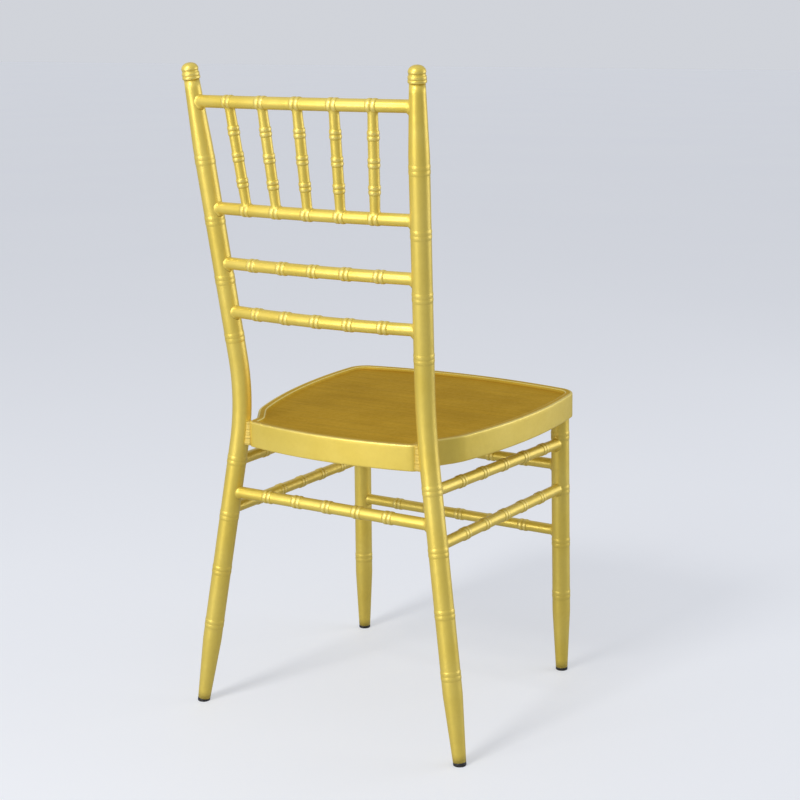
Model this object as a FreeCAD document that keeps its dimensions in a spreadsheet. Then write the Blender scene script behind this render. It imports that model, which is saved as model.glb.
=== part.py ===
"""Banquet chair of the bamboo-look kind, in welded and lacquered steel tube.

The chair stands on z = 0 and faces -y. The sitter's left is +x. Lengths are in millimetres.
Each tube is a solid outer form minus its bore, then its ends are coped to the tubes that carry it.
"""
import FreeCAD, Part
import math
import os

import Sketcher
from FreeCAD import Placement, Rotation, Vector

doc = FreeCAD.newDocument("banquet_chair")
sheet = doc.addObject("Spreadsheet::Sheet", "Sizes")


class Size:
    """A length, angle or count that remembers the sheet expression it is worked out with."""

    def __init__(self, value, text=None):
        self.value = float(value)
        self.text = text or repr(self.value)
        self.bound = text is not None

    def combine(self, other, value, sign):
        """One sum or product, with its expression when either side has one."""
        if self.bound or other.bound:
            return Size(value, f"({self.text} {sign} {other.text})")
        return Size(value)

    def __add__(self, other):
        other = as_size(other)
        return self.combine(other, self.value + other.value, "+")

    def __sub__(self, other):
        other = as_size(other)
        return self.combine(other, self.value - other.value, "-")

    def __mul__(self, other):
        other = as_size(other)
        return self.combine(other, self.value * other.value, "*")

    def __truediv__(self, other):
        other = as_size(other)
        return self.combine(other, self.value / other.value, "/")

    def __radd__(self, other):
        return as_size(other) + self

    def __rsub__(self, other):
        return as_size(other) - self

    def __rmul__(self, other):
        return as_size(other) * self

    def __neg__(self):
        return as_size(0) - self

    def __float__(self):
        return self.value


def as_size(number):
    """A bare number as a Size; a Size as it is."""
    return number if isinstance(number, Size) else Size(number)


def root(square):
    """The square root of a Size."""
    return Size(math.sqrt(square.value), f"sqrt({square.text})")


def sine(angle):
    """The sine of an angle in degrees."""
    return Size(math.sin(math.radians(angle.value)), f"sin({angle.text} * 1 deg)")


def cosine(angle):
    """The cosine of an angle in degrees."""
    return Size(math.cos(math.radians(angle.value)), f"cos({angle.text} * 1 deg)")


def arc_sine(ratio):
    """The angle in degrees that has this sine."""
    return Size(math.degrees(math.asin(ratio.value)), f"(asin({ratio.text}) / 1 deg)")


def arc_cosine(ratio):
    """The angle in degrees that has this cosine."""
    return Size(math.degrees(math.acos(ratio.value)), f"(acos({ratio.text}) / 1 deg)")


sheet_rows = []


def size(alias, value):
    """Put one driving dimension in the sheet and hand it back with its expression."""
    sheet_rows.append(alias)
    row = len(sheet_rows)
    sheet.set(f"A{row}", alias)
    sheet.set(f"B{row}", str(value))
    sheet.setAlias(f"B{row}", alias)
    return Size(value, f"Sizes.{alias}")


# Seat and rear posts: the heights and half widths that the rest is measured from
seat_height = size("seat_height", 432.0)
seat_half_width = size("seat_half_width", 199.4)
seat_front = size("seat_front", 232.7)
bend_y = size("bend_y", 152.2)
bend_over_seat = size("bend_over_seat", 22.5)
bend_inset = size("bend_inset", 52.3)
bend_height = seat_height + bend_over_seat
bend_x = seat_half_width - bend_inset

# Rear posts: how far the foot and the top stand from the corner of the bend, and the tube
post_foot_splay = size("post_foot_splay", 68.9)
post_foot_rake = size("post_foot_rake", 24.7)
post_top_splay = size("post_top_splay", 26.7)
post_top_rake = size("post_top_rake", 67.1)
back_rise = size("back_rise", 444.2)
post_foot_x = bend_x + post_foot_splay
post_foot_y = bend_y + post_foot_rake
post_top_x = bend_x + post_top_splay
post_top_y = bend_y + post_top_rake
post_top_height = bend_height + back_rise
bend_radius = size("bend_radius", 430.0)
post_radius = size("post_radius", 13.5)
post_wall = size("post_wall", 1.5)
post_top_radius = size("post_top_radius", 10.3)
post_top_taper = size("post_top_taper", 90.0)
foot_radius = size("foot_radius", 9.0)
foot_taper = size("foot_taper", 92.0)

# Front legs: how far they stand in from the pan, how they splay, and the tube
leg_inset = size("leg_inset", 24.9)
leg_setback = size("leg_setback", 40.4)
leg_splay = size("leg_splay", 5.6)
leg_rake = size("leg_rake", 13.8)
leg_top_x = seat_half_width - leg_inset
leg_top_y = seat_front - leg_setback
leg_foot_x = leg_top_x + leg_splay
leg_foot_y = leg_top_y + leg_rake
leg_radius = size("leg_radius", 13.4)
leg_wall = size("leg_wall", 1.5)

# Double rings of the posts and legs: from the floor, from the bend, and short of seat and top
ring_rise = size("ring_rise", 0.5)
ring_width = size("ring_width", 14.0)
ring_valley = size("ring_valley", 0.25)
leg_ring_first = size("leg_ring_first", 123.4)
leg_ring_margin = size("leg_ring_margin", 59.3)
leg_ring_count = size("leg_ring_count", 4)
back_ring_first = size("back_ring_first", 93.9)
back_ring_margin = size("back_ring_margin", 107.4)
back_ring_count = size("back_ring_count", 4)

# Foot plugs
plug_thickness = size("plug_thickness", 4.5)
plug_stem = size("plug_stem", 16.0)
plug_clearance = size("plug_clearance", 0.15)

# Finials
finial_radius = size("finial_radius", 12.0)
finial_neck_radius = size("finial_neck_radius", 10.9)
finial_cap_radius = size("finial_cap_radius", 11.4)
finial_ring_pitch = size("finial_ring_pitch", 4.4)
finial_ring_width = size("finial_ring_width", 2.4)
finial_ring_count = size("finial_ring_count", 2)
finial_neck_length = size("finial_neck_length", 3.4)
finial_cap_edge = size("finial_cap_edge", 0.6)
finial_dome_height = size("finial_dome_height", 8.4)
finial_spigot = size("finial_spigot", 15.0)

# Back rails: the drop to each from the one above, the bow to the rear, and the tube
rail_radius = size("rail_radius", 8.35)
rail_wall = size("rail_wall", 1.2)
top_rail_drop = size("top_rail_drop", 28.6)
top_rail_bow = size("top_rail_bow", 12.4)
spindle_rail_drop = size("spindle_rail_drop", 142.6)
spindle_rail_bow = size("spindle_rail_bow", 11.4)
middle_rail_drop = size("middle_rail_drop", 75.9)
middle_rail_bow = size("middle_rail_bow", 10.6)
lower_rail_drop = size("lower_rail_drop", 67.8)
lower_rail_bow = size("lower_rail_bow", 15.5)
top_rail_height = post_top_height - top_rail_drop
spindle_rail_height = top_rail_height - spindle_rail_drop
middle_rail_height = spindle_rail_height - middle_rail_drop
lower_rail_height = middle_rail_height - lower_rail_drop

# Beads of rails, stretchers and spindles: two round each place, with a valley between them
bead_rise = size("bead_rise", 1.1)
bead_width = size("bead_width", 15.0)
bead_valley = size("bead_valley", 0.25)
bead_count = size("bead_count", 5)
rail_bead_margin = size("rail_bead_margin", 46.3)
top_bead_margin = size("top_bead_margin", 62.6)
rail_bead_pitch = 2 * (bend_x - rail_bead_margin) / (bead_count - 1)
top_bead_pitch = 2 * (post_top_x - top_bead_margin) / (bead_count - 1)

# Spindles between the two upper rails, one on each pair of beads
spindle_radius = size("spindle_radius", 7.2)
spindle_end_radius = size("spindle_end_radius", 6.4)
spindle_wall = size("spindle_wall", 1.0)
spindle_swell = size("spindle_swell", 40.0)
spindle_bead_rise = size("spindle_bead_rise", 1.0)
spindle_bead_width = size("spindle_bead_width", 13.0)
spindle_bead_pitch = size("spindle_bead_pitch", 35.0)
spindle_bead_count = size("spindle_bead_count", 3)

# Stretchers: the drop of their axes from the rim of the seat, and where their beads stand
stretcher_radius = size("stretcher_radius", 8.1)
stretcher_wall = size("stretcher_wall", 1.2)
side_upper_rear_drop = size("side_upper_rear_drop", 66.2)
side_upper_front_drop = size("side_upper_front_drop", 71.0)
side_upper_bead_pitch = size("side_upper_bead_pitch", 56.6)
side_upper_bead_shift = size("side_upper_bead_shift", 7.2)
side_lower_rear_drop = size("side_lower_rear_drop", 138.0)
side_lower_front_drop = size("side_lower_front_drop", 141.1)
side_lower_bead_pitch = size("side_lower_bead_pitch", 54.6)
side_lower_bead_shift = size("side_lower_bead_shift", 0.5)
front_upper_drop = size("front_upper_drop", 105.7)
front_lower_drop = size("front_lower_drop", 209.1)
front_bead_pitch = size("front_bead_pitch", 55.9)
front_bead_shift = size("front_bead_shift", 3.0)
rear_drop = size("rear_drop", 110.9)
rear_bead_pitch = size("rear_bead_pitch", 49.6)
rear_bead_shift = size("rear_bead_shift", -4.5)

# Seat pan, measured in its own plane, which leans down to the rear
seat_tilt = size("seat_tilt", 2.0)
seat_rear_overhang = size("seat_rear_overhang", 24.3)
seat_rear_fall = size("seat_rear_fall", 16.3)
seat_front_bow = size("seat_front_bow", 860.0)
seat_widest = size("seat_widest", 114.6)
seat_side_bow = size("seat_side_bow", 683.0)
seat_gap = size("seat_gap", 0.5)
waist_setback = size("waist_setback", 14.3)
waist_angle = size("waist_angle", 33.0)
waist_curve = size("waist_curve", 20.0)
shoulder_curve = size("shoulder_curve", 95.0)
rear_corner_curve = size("rear_corner_curve", 12.0)
front_corner_curve = size("front_corner_curve", 33.0)
apron_depth = size("apron_depth", 36.0)
seat_sheet = size("seat_sheet", 1.5)
seat_edge_curve = size("seat_edge_curve", 2.0)
seat_ledge = size("seat_ledge", 10.5)
dish_depth = size("dish_depth", 3.6)
dish_slope = size("dish_slope", 3.0)
dish_corner_curve = size("dish_corner_curve", 9.0)
seam_width = size("seam_width", 12.0)
seam_margin = size("seam_margin", 2.0)
seat_rear = bend_y + seat_rear_overhang
waist_y = bend_y - waist_setback

# Blocks that level the feet and the tops of the legs
block_width = 2 * (seat_front + seat_half_width)
block_height = 4 * leg_radius

FULL_TURN = 360
SIDES = {"left": 1, "right": -1}
OVERLAP = 1.0
LEAST_STRAIGHT = 1.0
NONE = as_size(0)

doc.recompute()


def distance(start, end):
    """The distance between two points given as triples of Sizes."""
    squares = [(b - a) * (b - a) for a, b in zip(start, end)]
    return root(squares[0] + squares[1] + squares[2])


def share_at(low, high, height):
    """The point at a height on the line through two points given as triples of Sizes."""
    part = (height - low[2]) / (high[2] - low[2])
    return tuple(a + (b - a) * part for a, b in zip(low, high))


def vector(point, side=1):
    """A triple of Sizes as a vector, on the left or mirrored to the right."""
    return Vector(side * float(point[0]), float(point[1]), float(point[2]))


def set_size(thing, name, amount):
    """Set one size of a thing, tied to the sheet."""
    amount = as_size(amount)
    setattr(thing, name, amount.value)
    if amount.bound:
        thing.setExpression(name, amount.text)


def set_count(pattern, count):
    """Set how often a pattern repeats, tied to the sheet."""
    pattern.Occurrences = round(count.value)
    pattern.setExpression("Occurrences", count.text)


def origin_feature(body, role):
    """One of a body's own origin planes or axes."""
    return next(item for item in body.Origin.OriginFeatures if item.Role == role)


def new_body(name, frame):
    """A body for one form, standing in its own frame."""
    body = doc.addObject("PartDesign::Body", name)
    body.Placement = frame
    return body


def new_sketch(body, name, plane="XZ_Plane", across=NONE, along=NONE, off=NONE, turn=NONE):
    """A sketch on one of the body's own planes, moved and turned clockwise in that plane."""
    sketch = body.newObject("Sketcher::SketchObject", name)
    sketch.AttachmentSupport = [(origin_feature(body, plane), "")]
    sketch.MapMode = "FlatFace"
    base = Vector(float(across), float(along), float(off))
    sketch.AttachmentOffset = Placement(base, Rotation(Vector(0, 0, -1), float(turn)))
    for path, amount in (("Base.x", across), ("Base.y", along), ("Base.z", off)):
        if amount.bound:
            sketch.setExpression(f"AttachmentOffset.{path}", amount.text)
    if turn.bound:
        sketch.setExpression("AttachmentOffset.Rotation.Angle", turn.text)
    return sketch


def constrain(sketch, kind, *args):
    """Add one constraint; where it ends in a Size, that stays tied to the sheet."""
    amount = args[-1]
    if not isinstance(amount, Size):
        sketch.addConstraint(Sketcher.Constraint(kind, *args))
        return
    index = sketch.addConstraint(Sketcher.Constraint(kind, *args[:-1], amount.value))
    if amount.bound:
        sketch.setExpression(f"Constraints[{index}]", amount.text)


def hold_point(sketch, geometry, end, across, along):
    """Hold one point of a sketch edge at its two distances from the origin."""
    constrain(sketch, "DistanceX", -1, 1, geometry, end, as_size(across))
    constrain(sketch, "DistanceY", -1, 1, geometry, end, as_size(along))


def draw_outline(sketch, corners, dome=None):
    """A closed outline through the corners; the edge numbered dome is round about the axis."""
    points = [Vector(float(across), float(along), 0) for across, along in corners]
    edges = [Part.LineSegment(a, b) for a, b in zip(points, points[1:] + points[:1])]
    if dome is not None:
        low, high = points[dome], points[dome + 1]
        rise = high.y - low.y
        radius = (low.x ** 2 + rise ** 2) / (2 * rise)
        centre = Vector(0, high.y - radius, 0)
        start = math.atan2(low.y - centre.y, low.x)
        circle = Part.Circle(centre, Vector(0, 0, 1), radius)
        edges[dome] = Part.ArcOfCircle(circle, start, math.pi / 2)
    sketch.addGeometry(edges, False)
    for index in range(len(edges)):
        constrain(sketch, "Coincident", index, 2, (index + 1) % len(edges), 1)
    for index, (across, along) in enumerate(corners):
        hold_point(sketch, index, 1, across, along)
    if dome is not None:
        constrain(sketch, "PointOnObject", dome, 3, -2)


def draw_circle(sketch, radius, across=NONE):
    """A circle with its centre on the first axis of the sketch."""
    circle = Part.Circle(Vector(float(across), 0, 0), Vector(0, 0, 1), float(radius))
    index = sketch.addGeometry(circle, False)
    constrain(sketch, "Radius", index, radius)
    hold_point(sketch, index, 3, across, NONE)


def draw_axis(sketch, across):
    """A construction line beside the outline, to turn it about."""
    line = Part.LineSegment(Vector(float(across), 0, 0), Vector(float(across), 1, 0))
    index = sketch.addGeometry(line, True)
    hold_point(sketch, index, 1, across, NONE)
    hold_point(sketch, index, 2, across, as_size(1))


def revolve(body, sketch, name, axis="V_Axis", angle=None):
    """Turn a sketch about one of its axes, all round or through an angle."""
    feature = body.newObject("PartDesign::Revolution", name)
    feature.Profile = sketch
    feature.ReferenceAxis = (sketch, [axis])
    feature.Angle = FULL_TURN
    if angle is not None:
        set_size(feature, "Angle", angle)
    return feature


def repeat_along(body, feature, sketch, name, pitch, count):
    """Repeat a ring along the tube that carries it."""
    pattern = body.newObject("PartDesign::LinearPattern", name)
    pattern.Originals = [feature]
    pattern.Direction = (sketch, ["V_Axis"])
    set_size(pattern, "Length", pitch * (count - 1))
    set_count(pattern, count)
    body.Tip = pattern


def ring_outline(radius, wall, place, width, rise, valley=None, axis_at=NONE):
    """A low ring whose flanks start inside the tube's wall; a valley parts it into two beads."""
    inside = radius - wall / 2
    foot = width / 2 + width / 4 * (wall / 2) / rise
    corners = [
        (inside, place - foot),
        (radius + rise, place - width / 4),
        (radius + rise, place + width / 4),
        (inside, place + foot),
    ]
    if valley is not None:
        corners.insert(2, (radius + valley, place))
    return [(axis_at + across, along) for across, along in corners]


def cut(name, base, *tools):
    """Cut the tools from the base one by one; the last result takes the name."""
    result = base
    for index, tool in enumerate(tools):
        last = index == len(tools) - 1
        step = doc.addObject("Part::Cut", name if last else f"{name}_cut_{index + 1}")
        step.Base = result
        step.Tool = tool
        result = step
    return result


def cutting_block(name, frame, base):
    """A broad flat block to cut with, whose underside has its middle at the base."""
    block = doc.addObject("Part::Box", name)
    set_size(block, "Length", block_width)
    set_size(block, "Width", block_width)
    set_size(block, "Height", block_height)
    half = float(block_width) / 2
    block.Placement = frame.multiply(Placement(Vector(-half, -half, base), Rotation()))
    return block


def aim(start, end):
    """The frame that stands on start and points at end."""
    return Placement(start, Rotation(Vector(0, 0, 1), end - start))


# The axes of posts and legs
POST_FOOT = (post_foot_x, post_foot_y, NONE)
POST_BEND = (bend_x, bend_y, bend_height)
POST_TOP = (post_top_x, post_top_y, post_top_height)
LEG_FOOT = (leg_foot_x, -leg_foot_y, NONE)
LEG_TOP = (leg_top_x, -leg_top_y, seat_height)

leg_length = distance(LEG_FOOT, LEG_TOP)
lower_length = distance(POST_FOOT, POST_BEND)
upper_length = distance(POST_BEND, POST_TOP)
leg_ring_pitch = (leg_length - leg_ring_first - leg_ring_margin) / (leg_ring_count - 1)
back_ring_pitch = (upper_length - back_ring_first - back_ring_margin) / (back_ring_count - 1)
products = [(b - a) * (c - b) for a, b, c in zip(POST_FOOT, POST_BEND, POST_TOP)]
bend_cosine = (products[0] + products[1] + products[2]) / (lower_length * upper_length)
bend_angle = arc_cosine(bend_cosine)
bend_setback = bend_radius * root((1 - bend_cosine) / (1 + bend_cosine))
lower_straight = lower_length - bend_setback
upper_straight = upper_length - bend_setback


def post_frame(side):
    """The frame of a rear post: on the floor, up the lower axis, with the bend in its xz plane."""
    foot = vector(POST_FOOT, side)
    up = (vector(POST_BEND, side) - foot).normalize()
    back = vector(POST_TOP, side) - vector(POST_BEND, side)
    across = (back - up * back.dot(up)).normalize()
    return Placement(foot, Rotation(across, up.cross(across), up, "ZXY"))


def post_form(name, side, inset, over):
    """The outer form of a rear post, or its bore where an inset is given."""
    body = new_body(name, post_frame(side))
    radius = post_radius - inset
    start = plug_thickness - over
    lower = new_sketch(body, f"{name}_lower_sketch")
    draw_outline(lower, [
        (NONE, start),
        (foot_radius - inset, start),
        (radius, plug_thickness + foot_taper),
        (radius, lower_straight),
        (NONE, lower_straight),
    ])
    revolve(body, lower, f"{name}_lower")
    bend = new_sketch(body, f"{name}_bend_sketch", "XY_Plane", off=lower_straight)
    draw_circle(bend, radius)
    draw_axis(bend, bend_radius)
    revolve(body, bend, f"{name}_bend", "Axis0", bend_angle)
    place = {
        "across": bend_radius * (1 - cosine(bend_angle)),
        "along": lower_straight + bend_radius * sine(bend_angle),
        "turn": bend_angle,
    }
    upper = new_sketch(body, f"{name}_upper_sketch", **place)
    draw_outline(upper, [
        (NONE, NONE),
        (radius, NONE),
        (radius, upper_straight - post_top_taper),
        (post_top_radius - inset, upper_straight + over),
        (NONE, upper_straight + over),
    ])
    revolve(body, upper, f"{name}_upper")
    return body, place


def add_rings(body, name, first, pitch, count, radius, wall, place):
    """The bamboo rings of one straight stretch of a post or leg."""
    sketch = new_sketch(body, f"{name}_sketch", **place)
    draw_outline(sketch, ring_outline(radius, wall, first, ring_width, ring_rise, ring_valley))
    ring = revolve(body, sketch, f"{name}_first")
    ring.Midplane = True
    repeat_along(body, ring, sketch, name, pitch, count)


def rear_post(side_name):
    """One rear post: lower leg, bend and back upright in one hollow tube."""
    side = SIDES[side_name]
    form, place = post_form(f"post_form_{side_name}", side, NONE, NONE)
    add_rings(form, f"post_lower_rings_{side_name}", leg_ring_first, leg_ring_pitch,
              leg_ring_count, post_radius, post_wall, {})
    add_rings(form, f"post_upper_rings_{side_name}", back_ring_first - bend_setback,
              back_ring_pitch, back_ring_count, post_radius, post_wall, place)
    bore, _ = post_form(f"post_bore_{side_name}", side, post_wall, as_size(OVERLAP))
    return form, cut(f"rear_post_{side_name}", form, bore)


def leg_form(name, side, inset, over):
    """The outer form of a front leg, or its bore where an inset is given."""
    body = new_body(name, aim(vector(LEG_FOOT, side), vector(LEG_TOP, side)))
    length = leg_length + 2 * leg_radius
    sketch = new_sketch(body, f"{name}_sketch")
    draw_outline(sketch, [
        (NONE, plug_thickness - over),
        (foot_radius - inset, plug_thickness - over),
        (leg_radius - inset, plug_thickness + foot_taper),
        (leg_radius - inset, length + over),
        (NONE, length + over),
    ])
    revolve(body, sketch, f"{name}_tube")
    return body


def front_leg(side_name, above):
    """One front leg, cut off where it meets the underside of the dish."""
    side = SIDES[side_name]
    form = leg_form(f"leg_form_{side_name}", side, NONE, NONE)
    add_rings(form, f"leg_rings_{side_name}", leg_ring_first, leg_ring_pitch,
              leg_ring_count, leg_radius, leg_wall, {})
    bore = leg_form(f"leg_bore_{side_name}", side, leg_wall, as_size(OVERLAP))
    return form, cut(f"front_leg_{side_name}", form, bore, above)


def foot_plug(name, frame, bore_radius, floor):
    """A plastic plug: a disc under the tube, cut level with the floor, and a stem in its bore."""
    body = new_body(f"{name}_form", frame)
    sketch = new_sketch(body, f"{name}_sketch")
    stem_radius = bore_radius - plug_clearance
    draw_outline(sketch, [
        (NONE, -plug_thickness),
        (foot_radius, -plug_thickness),
        (foot_radius, plug_thickness),
        (stem_radius, plug_thickness),
        (stem_radius, plug_thickness + plug_stem),
        (NONE, plug_thickness + plug_stem),
    ])
    revolve(body, sketch, f"{name}_turning")
    return cut(name, body, floor)


def finial(side_name):
    """A turned cap: rings, a neck and a flat dome, on a spigot in the top of the post."""
    side = SIDES[side_name]
    name = f"finial_{side_name}"
    top = vector(POST_TOP, side)
    beyond = top * 2 - vector(POST_BEND, side)
    body = new_body(name, aim(top, beyond))
    spigot_radius = post_top_radius - post_wall - plug_clearance
    neck_top = finial_ring_pitch * finial_ring_count + finial_neck_length
    cap_top = neck_top + 2 * finial_cap_edge
    corners = [
        (NONE, -finial_spigot),
        (spigot_radius, -finial_spigot),
        (spigot_radius, NONE),
        (finial_neck_radius, NONE),
    ]
    for number in range(round(finial_ring_count.value)):
        middle = finial_ring_pitch * (number + 0.5)
        corners += [
            (finial_radius, middle - finial_ring_width / 2),
            (finial_radius, middle + finial_ring_width / 2),
            (finial_neck_radius, finial_ring_pitch * (number + 1)),
        ]
    corners += [
        (finial_neck_radius, neck_top),
        (finial_cap_radius, neck_top + finial_cap_edge),
        (finial_cap_radius, cap_top),
        (NONE, cap_top + finial_dome_height),
    ]
    sketch = new_sketch(body, f"{name}_sketch")
    draw_outline(sketch, corners, dome=len(corners) - 2)
    revolve(body, sketch, f"{name}_turning")
    return body


def straight_tube(name, start, end, radius, wall, pitch, shift, supports):
    """A straight beaded tube between two axes, coped to the tubes at its ends."""
    frame = aim(start[0], end[0])
    length = distance(start[1], end[1])
    form = new_body(f"{name}_form", frame)
    sketch = new_sketch(form, f"{name}_sketch")
    draw_outline(sketch, [(NONE, NONE), (radius, NONE), (radius, length), (NONE, length)])
    revolve(form, sketch, f"{name}_tube")
    beads = new_sketch(form, f"{name}_bead_sketch")
    first = (length - pitch * (bead_count - 1)) / 2 + shift
    draw_outline(beads, ring_outline(radius, wall, first, bead_width, bead_rise, bead_valley))
    bead = revolve(form, beads, f"{name}_bead")
    repeat_along(form, bead, beads, f"{name}_beads", pitch, bead_count)
    bore = doc.addObject("Part::Cylinder", f"{name}_bore")
    set_size(bore, "Radius", radius - wall)
    set_size(bore, "Height", length)
    bore.Placement = frame
    return cut(name, form, bore, *supports)


def bow_of(height, bow):
    """The radius, half angle and centre of a rail that bows to the rear from post to post."""
    end = share_at(POST_BEND, POST_TOP, height)
    radius = (end[0] * end[0] + bow * bow) / (2 * bow)
    return radius, arc_sine(end[0] / radius), (NONE, end[1] + bow - radius, height)


def point_on_bow(height, bow, along):
    """The point of a bowed rail's axis at a distance from its middle, with its length along."""
    radius, _, centre = bow_of(height, bow)
    angle = along / radius * (180 / math.pi)
    return (centre[0] + radius * sine(angle), centre[1] + radius * cosine(angle), height)


def bowed_form(name, height, bow, tube_radius):
    """A round bar bent to a rail's bow, from post axis to post axis."""
    radius, half_angle, centre = bow_of(height, bow)
    body = new_body(name, Placement(vector(centre), Rotation(Vector(0, 0, 1), 90)))
    sketch = new_sketch(body, f"{name}_sketch")
    draw_circle(sketch, tube_radius, radius)
    bar = revolve(body, sketch, f"{name}_bar", angle=2 * half_angle)
    bar.Midplane = True
    return body, radius


def back_rail(name, height, bow, pitch, posts):
    """One bowed back rail with five double beads, coped to both posts."""
    form, radius = bowed_form(f"{name}_form", height, bow, rail_radius)
    step = pitch / radius * (180 / math.pi)
    reach = step * (bead_count - 1)
    beads = new_sketch(form, f"{name}_bead_sketch", "XY_Plane", turn=reach / 2)
    draw_outline(beads, ring_outline(rail_radius, rail_wall, NONE, bead_width, bead_rise,
                                     bead_valley, radius))
    draw_axis(beads, radius)
    bead = revolve(form, beads, f"{name}_bead", "Axis0")
    pattern = form.newObject("PartDesign::PolarPattern", f"{name}_beads")
    pattern.Originals = [bead]
    pattern.Axis = (origin_feature(form, "Z_Axis"), [""])
    set_size(pattern, "Angle", reach)
    set_count(pattern, bead_count)
    form.Tip = pattern
    bore, _ = bowed_form(f"{name}_bore", height, bow, rail_radius - rail_wall)
    return form, cut(name, form, bore, *posts)


def spindle(number, rails):
    """One swelling upright between the beads of the two upper rails."""
    name = f"spindle_{number}"
    place = number - (bead_count + 1) / 2
    low = point_on_bow(spindle_rail_height, spindle_rail_bow, rail_bead_pitch * place)
    high = point_on_bow(top_rail_height, top_rail_bow, top_bead_pitch * place)
    frame = aim(vector(low), vector(high))
    length = distance(low, high)
    form = new_body(f"{name}_form", frame)
    sketch = new_sketch(form, f"{name}_sketch")
    draw_outline(sketch, [
        (NONE, NONE),
        (spindle_end_radius, NONE),
        (spindle_radius, spindle_swell),
        (spindle_radius, length - spindle_swell),
        (spindle_end_radius, length),
        (NONE, length),
    ])
    revolve(form, sketch, f"{name}_tube")
    beads = new_sketch(form, f"{name}_bead_sketch")
    first = (length - spindle_bead_pitch * (spindle_bead_count - 1)) / 2
    draw_outline(beads, ring_outline(spindle_radius, spindle_wall, first, spindle_bead_width,
                                     spindle_bead_rise, bead_valley))
    bead = revolve(form, beads, f"{name}_bead")
    repeat_along(form, bead, beads, f"{name}_beads", spindle_bead_pitch, spindle_bead_count)
    bore = doc.addObject("Part::Cylinder", f"{name}_bore")
    set_size(bore, "Radius", spindle_end_radius - spindle_wall)
    set_size(bore, "Height", length)
    bore.Placement = frame
    return cut(name, form, bore, *rails)


# The seat pan's frame: x across, y to the rear, the rim in its xy plane
seat_frame = Placement(Vector(0, 0, float(seat_height)),
                       Rotation(Vector(1, 0, 0), -float(seat_tilt)))


def post_axis():
    """The axis of the left rear post as a wire, with the round bend."""
    frame = post_frame(1)
    radius = float(bend_radius)
    angle = math.radians(float(bend_angle))
    start = Vector(0, 0, float(lower_straight))
    middle = start + Vector(radius * (1 - math.cos(angle / 2)), 0, radius * math.sin(angle / 2))
    end = start + Vector(radius * (1 - math.cos(angle)), 0, radius * math.sin(angle))
    edges = [Part.makeLine(Vector(), start), Part.Arc(start, middle, end).toShape()]
    wire = Part.Wire(edges)
    wire.Placement = frame
    return wire


def post_at_rim():
    """Where the left post's axis passes the rim of the seat, in the frame of the seat."""
    width = float(block_width)
    rim = Part.makePlane(width, width, Vector(-width / 2, -width / 2, 0))
    rim.Placement = seat_frame.multiply(rim.Placement)
    crossing = post_axis().section(rim).Vertexes[0].Point
    return seat_frame.inverse().multVec(crossing)


post_place = post_at_rim()
waist_x = post_place.x - float(post_radius) - float(seat_gap)
seat_rear_bow = (waist_x ** 2 + seat_rear_fall * seat_rear_fall) / (2 * seat_rear_fall)


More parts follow.
